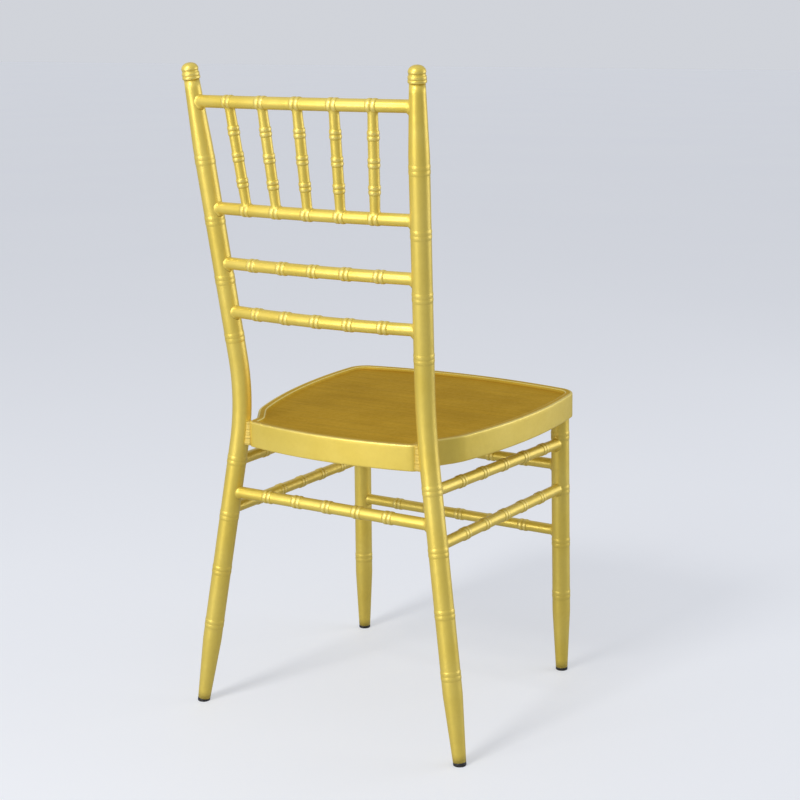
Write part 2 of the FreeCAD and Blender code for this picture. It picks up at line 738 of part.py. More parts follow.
class PanOutline:
    """The seat's outline, moved in by an inset, in its own plane."""

    def __init__(self, inset, rear_corner, waist_fillet):
        self.inset = inset
        self.rear_corner = rear_corner
        self.waist_fillet = waist_fillet
        self.waist = as_size(waist_x) - inset
        self.rear_centre = (NONE, seat_rear - seat_rear_bow)
        self.rear_radius = seat_rear_bow - inset
        self.side_centre = (seat_half_width - seat_side_bow, -seat_widest)
        self.side_radius = seat_side_bow - inset
        self.front_centre = (NONE, seat_front_bow - seat_front)
        self.front_radius = seat_front_bow - inset
        self.shoulder_fillet = shoulder_curve - inset
        self.front_corner = front_corner_curve - inset

    def fillet_centres(self):
        """The centres of the four corner fillets on the left side, as vectors."""
        waist = float(self.waist)
        corner = float(self.rear_corner)
        rear = Vector(*map(float, self.rear_centre), 0)
        height = math.sqrt((float(self.rear_radius) - corner) ** 2 - (waist - corner) ** 2)
        rear_fillet = Vector(waist - corner, rear.y + height, 0)

        angle = math.radians(float(waist_angle))
        down = Vector(math.sin(angle), -math.cos(angle), 0)
        out = Vector(math.cos(angle), math.sin(angle), 0)
        bend = Vector(waist_x, float(waist_y), 0)
        line_point = bend - out * float(self.inset)
        turn = float(self.waist_fillet)
        reach = (waist + turn - line_point.x - turn * out.x) / down.x
        waist_fillet = line_point + out * turn + down * reach

        side = Vector(*map(float, self.side_centre), 0)
        side_radius = float(self.side_radius)
        touch = line_point + down * (reach + LEAST_STRAIGHT) - side
        room = (side_radius ** 2 - touch.dot(touch)) / (2 * (side_radius - out.dot(touch)))
        if room < float(self.shoulder_fillet):
            self.shoulder_fillet = as_size(room)
        turn = float(self.shoulder_fillet)
        start = line_point - out * turn - side
        gap = side_radius - turn
        reach = math.sqrt(start.dot(down) ** 2 - start.dot(start) + gap ** 2) - start.dot(down)
        shoulder_fillet = start + side + down * reach

        front = Vector(*map(float, self.front_centre), 0)
        turn = float(self.front_corner)
        apart = front - side
        to_side = float(self.side_radius) - turn
        to_front = float(self.front_radius) - turn
        share = (to_side ** 2 - to_front ** 2 + apart.dot(apart)) / (2 * apart.dot(apart))
        foot = side + apart * share
        rise = math.sqrt(to_side ** 2 - (apart * share).dot(apart * share))
        normal = Vector(apart.y, -apart.x, 0).normalize()
        front_fillet = foot + normal * rise
        return rear_fillet, waist_fillet, shoulder_fillet, front_fillet, down, out

    def draw(self, sketch):
        """Draw the outline with tangent arcs, all sizes tied to the sheet."""
        rear_f, waist_f, shoulder_f, front_f, down, out = self.fillet_centres()
        rear = Vector(*map(float, self.rear_centre), 0)
        side = Vector(*map(float, self.side_centre), 0)
        front = Vector(*map(float, self.front_centre), 0)
        to_rear = bearing(rear_f - rear)
        to_shoulder = bearing(shoulder_f - side)
        to_side = bearing(front_f - side)
        to_front = bearing(front_f - front)
        slant = math.radians(float(waist_angle))
        half = [
            arc(rear_f, self.rear_corner, 0, to_rear),
            Part.LineSegment(Vector(float(self.waist), rear_f.y, 0),
                             Vector(float(self.waist), waist_f.y, 0)),
            arc(waist_f, self.waist_fillet, math.pi, math.pi + slant),
            Part.LineSegment(waist_f - out * float(self.waist_fillet),
                             shoulder_f + out * float(self.shoulder_fillet)),
            arc(shoulder_f, self.shoulder_fillet, to_shoulder, slant),
            arc(side, self.side_radius, to_side, to_shoulder),
            arc(front_f, self.front_corner, to_front, to_side),
        ]
        mirrored = [mirror(edge) for edge in reversed(half)]
        rear_arc = arc(rear, self.rear_radius, to_rear, math.pi - to_rear)
        front_arc = arc(front, self.front_radius, -math.pi - to_front, to_front)
        loop = [rear_arc] + half + [front_arc] + mirrored
        front_edge = len(half) + 1
        sketch.addGeometry(loop, False)
        for index in range(len(loop)):
            join_ends(sketch, index, (index + 1) % len(loop))
        constrain(sketch, "Radius", 0, self.rear_radius)
        hold_point(sketch, 0, 3, *self.rear_centre)
        constrain(sketch, "Radius", front_edge, self.front_radius)
        hold_point(sketch, front_edge, 3, *self.front_centre)
        distance_off = (self.waist + self.inset) * cosine(waist_angle)
        distance_off = distance_off + waist_y * sine(waist_angle) - self.inset
        for first, step in ((0, 1), (len(loop), -1)):
            constrain(sketch, "Radius", first + step, self.rear_corner)
            constrain(sketch, "Vertical", first + 2 * step)
            constrain(sketch, "DistanceX", -1, 1, first + 2 * step, 1, self.waist * step)
            constrain(sketch, "Radius", first + 3 * step, self.waist_fillet)
            constrain(sketch, "Distance", -1, 1, first + 4 * step, distance_off)
            constrain(sketch, "Radius", first + 5 * step, self.shoulder_fillet)
            constrain(sketch, "Radius", first + 6 * step, self.side_radius)
            hold_point(sketch, first + 6 * step, 3, self.side_centre[0] * step,
                       self.side_centre[1])
            constrain(sketch, "Radius", first + 7 * step, self.front_corner)


def bearing(ray):
    """The direction of a ray in its plane, in radians."""
    return math.atan2(ray.y, ray.x)


def arc(centre, radius, start, end):
    """An arc about a centre, counter-clockwise from one direction to another."""
    return Part.ArcOfCircle(Part.Circle(centre, Vector(0, 0, 1), float(radius)), start, end)


def mirror(edge):
    """The same edge on the other side of the chair's middle."""
    if isinstance(edge, Part.LineSegment):
        start, end = edge.StartPoint, edge.EndPoint
        return Part.LineSegment(Vector(-start.x, start.y, 0), Vector(-end.x, end.y, 0))
    centre = Vector(-edge.Center.x, edge.Center.y, 0)
    return arc(centre, edge.Radius, math.pi - edge.LastParameter, math.pi - edge.FirstParameter)


def join_ends(sketch, first, second):
    """Make two neighbouring edges of a sketch meet in one tangent."""
    ends = [(i, j) for i in (1, 2) for j in (1, 2)]
    gaps = {(i, j): (sketch.getPoint(first, i) - sketch.getPoint(second, j)).Length
            for i, j in ends}
    i, j = min(gaps, key=gaps.get)
    constrain(sketch, "Tangent", first, i, second, j)


def pan_sketch(body, name, inset, depth, rear_corner, waist_fillet):
    """The seat's outline moved in by an inset and down by a depth."""
    sketch = new_sketch(body, name, "XY_Plane", off=-depth)
    PanOutline(inset, rear_corner, waist_fillet).draw(sketch)
    return sketch


def pan_loft(name, top_inset, floor_inset, depth):
    """A shallow form with sloping sides that starts at the rim."""
    body = new_body(name, seat_frame)
    curves = (dish_corner_curve, waist_curve)
    top = pan_sketch(body, f"{name}_top_sketch", top_inset, NONE, *curves)
    floor = pan_sketch(body, f"{name}_floor_sketch", floor_inset, depth, *curves)
    loft = body.newObject("PartDesign::AdditiveLoft", f"{name}_loft")
    loft.Profile = top
    loft.Sections = [floor]
    loft.Ruled = True
    return body


def pan_block(name, inset, top, bottom):
    """A straight-sided block with the seat's outline, moved in evenly by an inset."""
    body = new_body(name, seat_frame)
    sketch = pan_sketch(body, f"{name}_sketch", inset, top, rear_corner_curve - inset,
                        waist_curve + inset)
    pad = body.newObject("PartDesign::Pad", f"{name}_pad")
    pad.Profile = sketch
    pad.Reversed = True
    set_size(pad, "Length", bottom - top)
    return body, pad


def seat_pan():
    """The pressed pan: apron, round edge, ledge and dish of one sheet, open underneath."""
    form, pad = pan_block("seat_form", NONE, NONE, apron_depth)
    doc.recompute()
    rim = [f"Edge{i + 1}" for i, edge in enumerate(pad.Shape.Edges)
           if edge.BoundBox.ZMin > -OVERLAP / 2]
    edge = form.newObject("PartDesign::Fillet", "seat_edge")
    edge.Base = (pad, rim)
    set_size(edge, "Radius", seat_edge_curve)
    dish = pan_loft("seat_dish", seat_ledge, seat_ledge + dish_slope, dish_depth)
    under = pan_loft("seat_dish_under", seat_ledge - seat_sheet,
                     seat_ledge + dish_slope - seat_sheet, dish_depth + seat_sheet)
    hollow, _ = pan_block("seat_hollow", seat_sheet, seat_sheet, apron_depth + OVERLAP)
    space = cut("seat_space", hollow, under)
    return cut("seat_pan", form, dish, space)


def seat_seam(side_name, post):
    """The weld seam between the pan's waist and the post."""
    side = SIDES[side_name]
    name = f"seat_seam_{side_name}"
    body = new_body(f"{name}_form", seat_frame)
    sketch = new_sketch(body, f"{name}_sketch", "XY_Plane", off=-seam_margin)
    near = side * waist_x
    far = side * (waist_x + float(post_radius))
    rear = post_place.y + float(seam_width) / 2
    front = post_place.y - float(seam_width) / 2
    draw_outline(sketch, [(near, front), (far, front), (far, rear), (near, rear)])
    pad = body.newObject("PartDesign::Pad", f"{name}_pad")
    pad.Profile = sketch
    pad.Reversed = True
    set_size(pad, "Length", apron_depth - 2 * seam_margin)
    return cut(name, body, post)


def axis_pair(low, high, height, side):
    """A point of a post's or leg's axis, as a vector on its side and as Sizes."""
    place = share_at(low, high, height)
    return vector(place, side), (place[0] * side, place[1], place[2])


def build_chair():
    """All named sub-parts of the chair."""
    parts = {}
    forms = {}
    floor = cutting_block("floor_block", Placement(), -float(block_height))
    above = cutting_block("over_dish_block", seat_frame, -float(dish_depth + seat_sheet))
    for side_name in SIDES:
        forms["post", side_name], parts[f"rear_post_{side_name}"] = rear_post(side_name)
        forms["leg", side_name], parts[f"front_leg_{side_name}"] = front_leg(side_name, above)
        parts[f"finial_{side_name}"] = finial(side_name)
        for end, bore in (("rear", foot_radius - post_wall), ("front", foot_radius - leg_wall)):
            name = f"foot_plug_{end}_{side_name}"
            form = forms["post" if end == "rear" else "leg", side_name]
            parts[name] = foot_plug(name, form.Placement, bore, floor)
    posts = [forms["post", "left"], forms["post", "right"]]
    legs = [forms["leg", "left"], forms["leg", "right"]]

    rails = {
        "top_rail": (top_rail_height, top_rail_bow, top_bead_pitch),
        "spindle_rail": (spindle_rail_height, spindle_rail_bow, rail_bead_pitch),
        "middle_rail": (middle_rail_height, middle_rail_bow, rail_bead_pitch),
        "lower_rail": (lower_rail_height, lower_rail_bow, rail_bead_pitch),
    }
    for name, (height, bow, pitch) in rails.items():
        forms[name], parts[name] = back_rail(name, height, bow, pitch, posts)
    for number in range(1, round(bead_count.value) + 1):
        parts[f"spindle_{number}"] = spindle(number, [forms["spindle_rail"], forms["top_rail"]])

    tube = (stretcher_radius, stretcher_wall)
    for side_name, side in SIDES.items():
        supports = [forms["post", side_name], forms["leg", side_name]]
        for level, rear_end, front_end, pitch, shift in (
                ("upper", side_upper_rear_drop, side_upper_front_drop,
                 side_upper_bead_pitch, side_upper_bead_shift),
                ("lower", side_lower_rear_drop, side_lower_front_drop,
                 side_lower_bead_pitch, side_lower_bead_shift)):
            name = f"side_stretcher_{level}_{side_name}"
            start = axis_pair(POST_FOOT, POST_BEND, seat_height - rear_end, side)
            end = axis_pair(LEG_FOOT, LEG_TOP, seat_height - front_end, side)
            parts[name] = straight_tube(name, start, end, *tube, pitch, shift, supports)
    for level, drop in (("upper", front_upper_drop), ("lower", front_lower_drop)):
        name = f"front_stretcher_{level}"
        height = seat_height - drop
        ends = [axis_pair(LEG_FOOT, LEG_TOP, height, side) for side in SIDES.values()]
        parts[name] = straight_tube(name, *ends, *tube, front_bead_pitch, front_bead_shift, legs)
    height = seat_height - rear_drop
    ends = [axis_pair(POST_FOOT, POST_BEND, height, side) for side in SIDES.values()]
    parts["rear_stretcher"] = straight_tube("rear_stretcher", *ends, rail_radius, rail_wall,
                                            rear_bead_pitch, rear_bead_shift, posts)

    parts["seat_pan"] = seat_pan()
    for side_name in SIDES:
        name = f"seat_seam_{side_name}"
        parts[name] = seat_seam(side_name, forms["post", side_name])
    return parts


chair = build_chair()
doc.recompute()
for item in doc.Objects:
    if "Invalid" in item.State or "Error" in item.State:
        raise RuntimeError(f"{item.Label} did not compute: {item.State}")

os.makedirs("parts", exist_ok=True)
for part_name, part in chair.items():
    shape = part.Shape
    if shape.isNull() or not shape.isValid() or len(shape.Solids) != 1:
        raise RuntimeError(f"{part_name} is not one sound solid: {len(shape.Solids)} solids")
    part.Label = part_name
    shape.exportStep(f"parts/{part_name}.step")
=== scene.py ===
"""Looks of the banquet chair: lacquered steel tube with bamboo rings, welds and a pressed seat.

Sizes are in millimetres, as in the part's source, and become metres when a mesh is made.
The floor, the lamps and the camera are in metres.
"""
import math

import bpy
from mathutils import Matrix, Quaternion, Vector


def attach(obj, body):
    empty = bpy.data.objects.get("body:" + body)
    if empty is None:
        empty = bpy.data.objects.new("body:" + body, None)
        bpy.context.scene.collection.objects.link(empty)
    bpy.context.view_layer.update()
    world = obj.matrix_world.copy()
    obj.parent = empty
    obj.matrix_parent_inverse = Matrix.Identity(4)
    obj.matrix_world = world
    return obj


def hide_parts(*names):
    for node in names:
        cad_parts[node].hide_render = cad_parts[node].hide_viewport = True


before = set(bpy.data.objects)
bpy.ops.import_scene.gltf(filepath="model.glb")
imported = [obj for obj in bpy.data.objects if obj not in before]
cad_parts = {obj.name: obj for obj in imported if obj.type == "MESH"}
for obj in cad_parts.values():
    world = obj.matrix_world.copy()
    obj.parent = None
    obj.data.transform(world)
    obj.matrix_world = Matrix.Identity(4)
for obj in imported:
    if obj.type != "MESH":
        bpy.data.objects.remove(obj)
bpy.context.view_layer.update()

MM = 0.001
SIDES = {"left": 1, "right": -1}

# Mesh: faces around a tube, distance between its plain rows, and rows on each flank of a ring
SEGMENTS = 48
POST_ROW_SPACING = 12.0
RAIL_ROW_SPACING = 9.0
ROW_CLEARANCE = 1.2
FLANK_ROWS = 8
ROWS_BEYOND = (0.2, 1.4)
TURNS = [2 * math.pi * number / SEGMENTS for number in range(SEGMENTS)]

# Seat and rear posts
SEAT_HEIGHT = 432.0
SEAT_HALF_WIDTH = 199.4
SEAT_FRONT = 232.7
BEND_Y = 152.2
BEND_HEIGHT = SEAT_HEIGHT + 22.5
BEND_X = SEAT_HALF_WIDTH - 52.3
BEND_RADIUS = 430.0
POST_RADIUS = 13.5
POST_TOP_RADIUS = 10.3
POST_TOP_TAPER = 90.0
FOOT_RADIUS = 9.0
FOOT_TAPER = 92.0
POST_FOOT = Vector((BEND_X + 68.9, BEND_Y + 24.7, 0.0))
POST_BEND = Vector((BEND_X, BEND_Y, BEND_HEIGHT))
POST_TOP = Vector((BEND_X + 26.7, BEND_Y + 67.1, BEND_HEIGHT + 444.2))

# Front legs
LEG_RADIUS = 13.4
LEG_TOP = Vector((SEAT_HALF_WIDTH - 24.9, -SEAT_FRONT + 40.4, SEAT_HEIGHT))
LEG_FOOT = Vector((LEG_TOP.x + 5.6, LEG_TOP.y - 13.8, 0.0))

# Rings of posts and legs; above the crest share of its rise, a ring counts as a crest, and below it
# as a groove with painted shade
RING_RISE = 0.5
RING_WIDTH = 14.0
RING_VALLEY = 0.22
RING_FULLNESS = 1.3
CREST_SHARE = 0.75
LEG_RING_FIRST = 123.4
LEG_RING_MARGIN = 59.3
BACK_RING_FIRST = 93.9
BACK_RING_MARGIN = 107.4
RING_COUNT = 4

# Foot plugs: places along the leg, each with how far the surface is inside the foot's radius
PLUG_THICKNESS = 4.5
PLUG_SECTION = ((-2.0, 0.9), (-0.6, 0.25), (0.4, 0.0), (PLUG_THICKNESS - 0.5, 0.0),
                (PLUG_THICKNESS, 0.35), (PLUG_THICKNESS + 0.6, 1.5), (PLUG_THICKNESS + 14.0, 1.7))

# Finials: each ring has a start, an end and a radius, and the dome has powers of its rise and width
FINIAL_SPIGOT = 3.0
FINIAL_SPIGOT_RADIUS = POST_TOP_RADIUS - 1.5
FINIAL_NECK_RADIUS = 10.9
FINIAL_CAP_RADIUS = 11.4
FINIAL_RINGS = ((0.0, 4.1, 12.0), (4.3, 8.8, 11.8))
FINIAL_VALLEY = 0.2
FINIAL_RING_STEPS = 10
FINIAL_RING_CREST = 0.7
# Crest of the painted shade in the grooves at the ends of each finial ring
FINIAL_GROOVE_SHADE = -0.5
FINIAL_NECK_TOP = 12.2
FINIAL_LIP = 1.0
FINIAL_LIP_STEPS = 4
FINIAL_LIP_CREST = 0.8
FINIAL_CAP_TOP = 13.4
FINIAL_DOME_STEPS = 15
FINIAL_DOME_POWERS = (1.1, 0.85)
FINIAL_RIM_STEPS = 3
FINIAL_RIM_CREST = 0.6
FINIAL_HEIGHT = 21.8

# Back rails: height of the axis and bow to the rear
RAIL_RADIUS = 8.35
RAILS = {
    "top_rail": (870.1, 12.4),
    "spindle_rail": (727.5, 11.4),
    "middle_rail": (651.6, 10.6),
    "lower_rail": (583.8, 15.5),
}
BEAD_RISE = 1.1
BEAD_WIDTH = 15.0
BEAD_VALLEY = 0.25
BEAD_FULLNESS = 0.7
BEAD_COUNT = 5
RAIL_BEAD_PITCH = (BEND_X - 46.3) / 2
TOP_BEAD_PITCH = (POST_TOP.x - 62.6) / 2

# Spindles
SPINDLE_RADIUS = 7.2
SPINDLE_END_RADIUS = 6.4
SPINDLE_SWELL = 40.0
SPINDLE_BEAD_RISE = 1.0
SPINDLE_BEAD_WIDTH = 13.0
SPINDLE_BEAD_PITCH = 35.0
SPINDLE_BEAD_COUNT = 3

# Stretchers: how far the axis is below the rim of the seat at each end, and the beads
STRETCHER_RADIUS = 8.1
SIDE_STRETCHERS = {
    "upper": (66.2, 71.0, 56.6, 7.2),
    "lower": (138.0, 141.1, 54.6, 0.5),
}
FRONT_STRETCHERS = {"upper": 105.7, "lower": 209.1}
FRONT_BEAD_PITCH = 55.9
FRONT_BEAD_SHIFT = 3.0
REAR_DROP = 110.9
REAR_BEAD_PITCH = 49.6
REAR_BEAD_SHIFT = -4.5
REAR_SEED = 3.0

# Welds: size, how much larger below the tube, and ripples as waves, seeds and share of the size.
# Sink and root are depths in the support, and the foot shade is the crest of the painted shade in
# the crease at the weld's foot. The margins are the lengths that a tube's end leaves to its weld.
WELD_SIZE = 0.9
WELD_LUMP = 2.6
WELD_RIPPLES = ((3, 1, 0.16), (8, 2, 0.1))
WELD_FULLNESS = 0.4
WELD_SINK = 0.15
WELD_ROOT = 0.8
WELD_STEPS = 5
CONTACT_STEPS = 6
WELD_FOOT_SHADE = -1.6
SEED_STEP = 1.7
END_MARGIN = 7.0
LEG_END_MARGIN = 14.0

# Weld seams beside the seat: reach along the pan's wall and along the post, to the rear and to the
# front; how deep the edges lie in the wall and in the post; and the depth of each hidden root,
# with its share of the reach
SEAM_REAR = (3.9, 4.9)
SEAM_FRONT = (5.6, 5.0)
SEAM_ROWS = 44
SEAM_STEPS = 5
SEAM_MARGIN = 0.9
SEAM_END_SHARE = 0.6
SEAM_LUMP = 0.5
SEAM_LUMP_ROWS = 5.3
SEAM_WAVE = 0.2
SEAM_WAVE_PITCH = 0.7
SEAM_FULLNESS = 1.2
SEAM_SINKS = (0.2, 0.25)
SEAM_ROOTS = ((0.6, 0.7), (0.5, 0.8))
SEAM_CREST = 0.4

# Seat pan, measured in its own leaning plane
SEAT_TILT = math.radians(2.0)
SEAT_REAR = BEND_Y + 24.3
SEAT_REAR_FALL = 16.3
SEAT_FRONT_BOW = 860.0
SEAT_WIDEST = 114.6
SEAT_SIDE_BOW = 683.0
SEAT_GAP = 0.5
WAIST_Y = BEND_Y - 14.3
WAIST_ANGLE = math.radians(33.0)
WAIST_CURVE = 20.0
SHOULDER_CURVE = 95.0
REAR_CORNER_CURVE = 12.0
LEAST_CORNER_CURVE = 4.0
FRONT_CORNER_CURVE = 33.0
APRON_DEPTH = 36.0
SEAT_SHEET = 1.5
SEAT_EDGE_CURVE = 2.0
SEAT_LEDGE = 10.5
DISH_DEPTH = 3.6
DISH_SLOPE = 3.0
DISH_FOOT = SEAT_LEDGE + DISH_SLOPE
DISH_RINGS = (0.9, 0.75, 0.5, 0.25)
DISH_FLAT = DISH_FOOT + 1.6
SLOPE_SPREAD = 1.0
# Slope crests: painted shade at the slope's foot and a painted highlight line at its top, as on the
# ledge and the rounded rim
SLOPE_SHADE_AND_HIGHLIGHT = (0.0, -0.5, -0.5, 0.0, 0.3, 1.0, 1.0)
LEDGE_MARGIN = 1.5
LEDGE_HIGHLIGHT = 1.0
EDGE_STEPS = 5
EDGE_HIGHLIGHT = 0.85
EDGE_END_HIGHLIGHT = 0.3
APRON_ROWS = (6.0, 14.0, 24.0, APRON_DEPTH - 2.0)
# The apron lip's crests paint a highlight along its bottom edge
APRON_LIP = ((0.05, 0.6, 0.5), (0.4, 0.1, 0.8), (SEAT_SHEET / 2, 0.0, 0.5),
             (SEAT_SHEET - 0.3, 0.1, 0.3), (SEAT_SHEET, 0.7, 0.0))
INNER_ROWS = (24.0, 12.0, SEAT_SHEET + 1.5)
# The underside's negative crests paint shade next to the apron
UNDERSIDE = ((SEAT_SHEET + 0.5, 0.3, -0.3), (SEAT_SHEET + 1.5, 0.0, -0.2),
             (SEAT_LEDGE - SEAT_SHEET, 0.0, 0.0), (DISH_FOOT - SEAT_SHEET, DISH_DEPTH, 0.0),
             (DISH_FLAT, DISH_DEPTH, 0.0))

# Steps of the outline's arcs and lines on one side, from the middle of the rear to the front
OUTLINE_STEPS = {"rear": 14, "rear corner": 6, "neck": 3, "waist": 6, "slant": 8,
                 "shoulder": 12, "side": 16, "front corner": 12, "front": 18}

# Rows of the pan's faces, from the middle of the dish: the darker gold, a painted dark reflection,
# covers the dish, the slope round it and the ledge, but not the top of the slope, which keeps the
# paler gold as a painted highlight line
DARK_REFLECTION_ROWS = len(DISH_RINGS) + len(SLOPE_SHADE_AND_HIGHLIGHT) + 1
SLOPE_HIGHLIGHT_ROWS = range(DARK_REFLECTION_ROWS - 3, DARK_REFLECTION_ROWS - 1)

# Where the seat is looked for along a rear post
POST_SEARCH = (300.0, 600.0)
SEARCH_STEPS = 40

# Patterns of the materials: repeats in a metre
CLOUD_SCALE = 14.0
WAVE_SCALE = 75.0
FINE_SCALE = 170.0
PEEL_SCALE = 330.0
SCUFF_SCALE = 400.0
GRAIN_SCALE = 1400.0
STREAK_SCALE = (6.0, 90.0, 90.0)

# Relief of the materials in metres, the lacquer's clear coat and the plugs' plastic
BUMP_STRENGTH = 0.3
LACQUER_RELIEF = 0.0002
PLUG_RELIEF = 0.0001
COAT_ROUGHNESS = 0.25
SCUFF_HEIGHT = 0.003
PLUG_BLACK = (0.012, 0.012, 0.013)
PLUG_SCUFFED = (0.09, 0.085, 0.08)

# Studio: the floor, the light around it, the directions where that light is dimmer and by how
# much, and each lamp's place, size, power and colour
FLOOR_HALF = 40.0
FLOOR_COLOURS = ((184, 186, 191), (190, 192, 196))
FLOOR_CLOUD_SCALE = 0.8
FLOOR_ROUGHNESS = 0.6
FLOOR_SHINE = 0.2
FLOOR_GLOW = 0.5
STUDIO_COLOUR = (228, 231, 238)
SHINE_LIGHT = 0.85
SOFT_LIGHT = 0.5
SEEN_LIGHT = 0.82
DIM_SIDES = (((-0.985, 0.15, 0.0), 0.4), ((0.52, -0.85, 0.1), 0.25))
DIM_FROM, DIM_FULL = 0.45, 0.95
LAMP_TARGET = Vector((0.0, 0.0, 0.42))
LAMPS = {
    "key": ((0.5, 3.0, 3.0), 0.8, 63.0, (1.0, 0.98, 0.94)),
    "left": ((0.9, 2.9, 0.9), 1.3, 30.0, (1.0, 0.98, 0.95)),
    "right": ((-2.5, -2.0, 1.0), 2.4, 36.0, (1.0, 0.99, 0.97)),
}

# Camera
CAMERA_PLACE = Vector((-1.23360, 1.99372, 0.95883))
CAMERA_LOOK = Vector((0.50997, -0.83301, -0.21452))
CAMERA_ROLL = 0.00126
CAMERA_LENS = 75.176
CAMERA_SENSOR = 36.0
CAMERA_SHIFT = (0.00112, -0.00118)


def mirrored(point, side):
    """The point on the left side of the chair, or its mirror on the right."""
    return Vector((side * point.x, point.y, point.z))


def at_height(low, high, height):
    """The point at a height on the line through two points."""
    return low.lerp(high, (height - low.z) / (high.z - low.z))


class Path:
    """The axis of a tube: straight runs and bends in one plane."""

    def __init__(self, start, forward, toward, runs):
        self.start = start
        self.forward = forward.normalized()
        self.toward = (toward - self.forward * toward.dot(self.forward)).normalized()
        self.runs = runs
        self.length = sum(length for length, _ in runs)

    def at(self, along):
        """The point, forward direction and side direction at a distance from the start."""
        point, forward, toward = self.start, self.forward, self.toward
        left = along
        for number, (length, radius) in enumerate(self.runs):
            last = number == len(self.runs) - 1
            step = left if last else min(left, length)
            if radius is None:
                point = point + forward * step
            else:
                angle = step / radius
                swing = forward * math.sin(angle) + toward * (1 - math.cos(angle))
                point = point + swing * radius
                turned = forward * math.cos(angle) + toward * math.sin(angle)
                toward = toward * math.cos(angle) - forward * math.sin(angle)
                forward = turned
            left -= step
            if left <= 0:
                break
        return point, forward, toward


def straight_path(start, end):
    """The path of a straight tube."""
    forward = end - start
    toward = Vector((0, 0, 1)) if abs(forward.normalized().z) < 0.7 else Vector((0, 1, 0))
    return Path(start, forward, toward, [(forward.length, None)])


def post_path(side):
    """The path of a rear post: lower leg, bend and back."""
    foot, bend, top = (mirrored(point, side) for point in (POST_FOOT, POST_BEND, POST_TOP))
    up = bend - foot
    back = top - bend
    angle = up.angle(back)
    setback = BEND_RADIUS * math.tan(angle / 2)
    runs = [(up.length - setback, None), (BEND_RADIUS * angle, BEND_RADIUS),
            (back.length - setback, None)]
    return Path(foot, up, back, runs)


def bow_path(height, bow):
    """The path of a back rail, bowed to the rear, from the right post to the left."""
    end = at_height(POST_BEND, POST_TOP, height)
    radius = (end.x ** 2 + bow ** 2) / (2 * bow)
    half_angle = math.asin(end.x / radius)
    start = Vector((-end.x, end.y, height))
    forward = Vector((math.cos(half_angle), math.sin(half_angle), 0))
    toward = Vector((math.sin(half_angle), -math.cos(half_angle), 0))
    return Path(start, forward, toward, [(2 * radius * half_angle, radius)])


def round_section(path, along, radius):
    """The points of a round section of a path."""
    point, forward, toward = path.at(along)
    beside = forward.cross(toward)
    return [point + (toward * math.cos(turn) + beside * math.sin(turn)) * radius
            for turn in TURNS]


class Beads:
    """Pairs of rounded rings along a tube, with a valley between the two of a pair."""

    def __init__(self, places, width, rise, valley, fullness):
        self.places = places
        self.width = width
        self.rise = rise
        self.valley = valley
        self.fullness = fullness

    def shape(self, along):
        """How far the rings stand out at a place, and how much it is a crest or a groove; a groove
        gets painted shade.
        """
        quarter = self.width / 4
        for place in self.places:
            off = abs(along - place)
            if off <= 2 * quarter:
                across = (off - quarter) / quarter
                bump = max(0.0, 1 - across ** 2) ** self.fullness
                floor = self.valley if off < quarter else 0.0
                # Below the crest share a ring's flanks and valley get a negative crest, which
                # paints shade there
                crest = bump if bump > CREST_SHARE else bump - 1
                return floor + (self.rise - floor) * bump, crest * self.rise / BEAD_RISE
        return 0.0, 0.0

    def rows(self):
        """Where the mesh needs rows: close together on the flanks of each ring."""
        quarter = self.width / 4
        steps = [math.cos(math.pi * step / FLANK_ROWS) for step in range(FLANK_ROWS + 1)]
        flanks = [side * quarter + quarter * step for side in (-1, 1) for step in steps]
        flanks += [side * (2 * quarter + beyond) for side in (-1, 1) for beyond in ROWS_BEYOND]
        return [place + flank for place in self.places for flank in flanks]


class Form:
    """The outer form of a round tube: its path, its radius along it and its rings."""

    def __init__(self, path, knots, beads=()):
        self.path = path
        self.knots = knots
        self.beads = beads

    def plain_radius(self, along):
        """The radius without rings."""
        for (low, before), (high, after) in zip(self.knots, self.knots[1:]):
            if along <= high:
                share = min(1.0, max(0.0, (along - low) / (high - low)))
                return before + (after - before) * share
        return self.knots[-1][1]

    def radius(self, along):
        """The radius with the rings."""
        return self.plain_radius(along) + sum(ring.shape(along)[0] for ring in self.beads)

    def crest(self, along):
        """Above nought on a ring's crest, below nought in its grooves, where it paints shade."""
        return sum(ring.shape(along)[1] for ring in self.beads)

    def ring(self, along):
        """The points of one round section."""
        return round_section(self.path, along, self.radius(along))


class RoundSupport:
    """The tube that another tube's end is welded to, near one place of its path."""

    def __init__(self, form, along):
        self.form = form
        self.along = along
        self.centre, self.forward, _ = form.path.at(along)

    def surface(self, point):
        """The nearest point of the support's surface, with the direction out of it."""
        reach = (point - self.centre).dot(self.forward)
        axis = self.centre + self.forward * reach
        out = (point - axis).normalized()
        return axis + out * self.form.radius(self.along + reach), out

    def contact(self, start, heading):
        """Where a straight line from a point first meets the support."""
        radius = self.form.radius(self.along)
        flat = heading - self.forward * heading.dot(self.forward)
        point = start
        for _ in range(CONTACT_STEPS):
            away = start - self.centre
            away = away - self.forward * away.dot(self.forward)
            square = flat.dot(flat)
            half = away.dot(flat)
            rest = max(0.0, half ** 2 - square * (away.dot(away) - radius ** 2))
            point = start + heading * ((-half - math.sqrt(rest)) / square)
            reach = (point - self.centre).dot(self.forward)
            radius = self.form.radius(self.along + reach)
        return point


class FlatSupport:
    """The underside of the seat, as the support of a front leg."""

    def __init__(self, centre, out):
        self.centre = centre
        self.out = out

    def surface(self, point):
        """The nearest point of the plane, with the direction out of it."""
        return point - self.out * (point - self.centre).dot(self.out), self.out

    def contact(self, start, heading):
        """Where a straight line from a point meets the plane."""
        return start + heading * ((self.centre - start).dot(self.out) / heading.dot(self.out))


def curved(start, corner, end, share):
    """A point of the curve that leaves its start, and meets its end, towards the corner."""
    return start * (1 - share) ** 2 + corner * 2 * share * (1 - share) + end * share ** 2


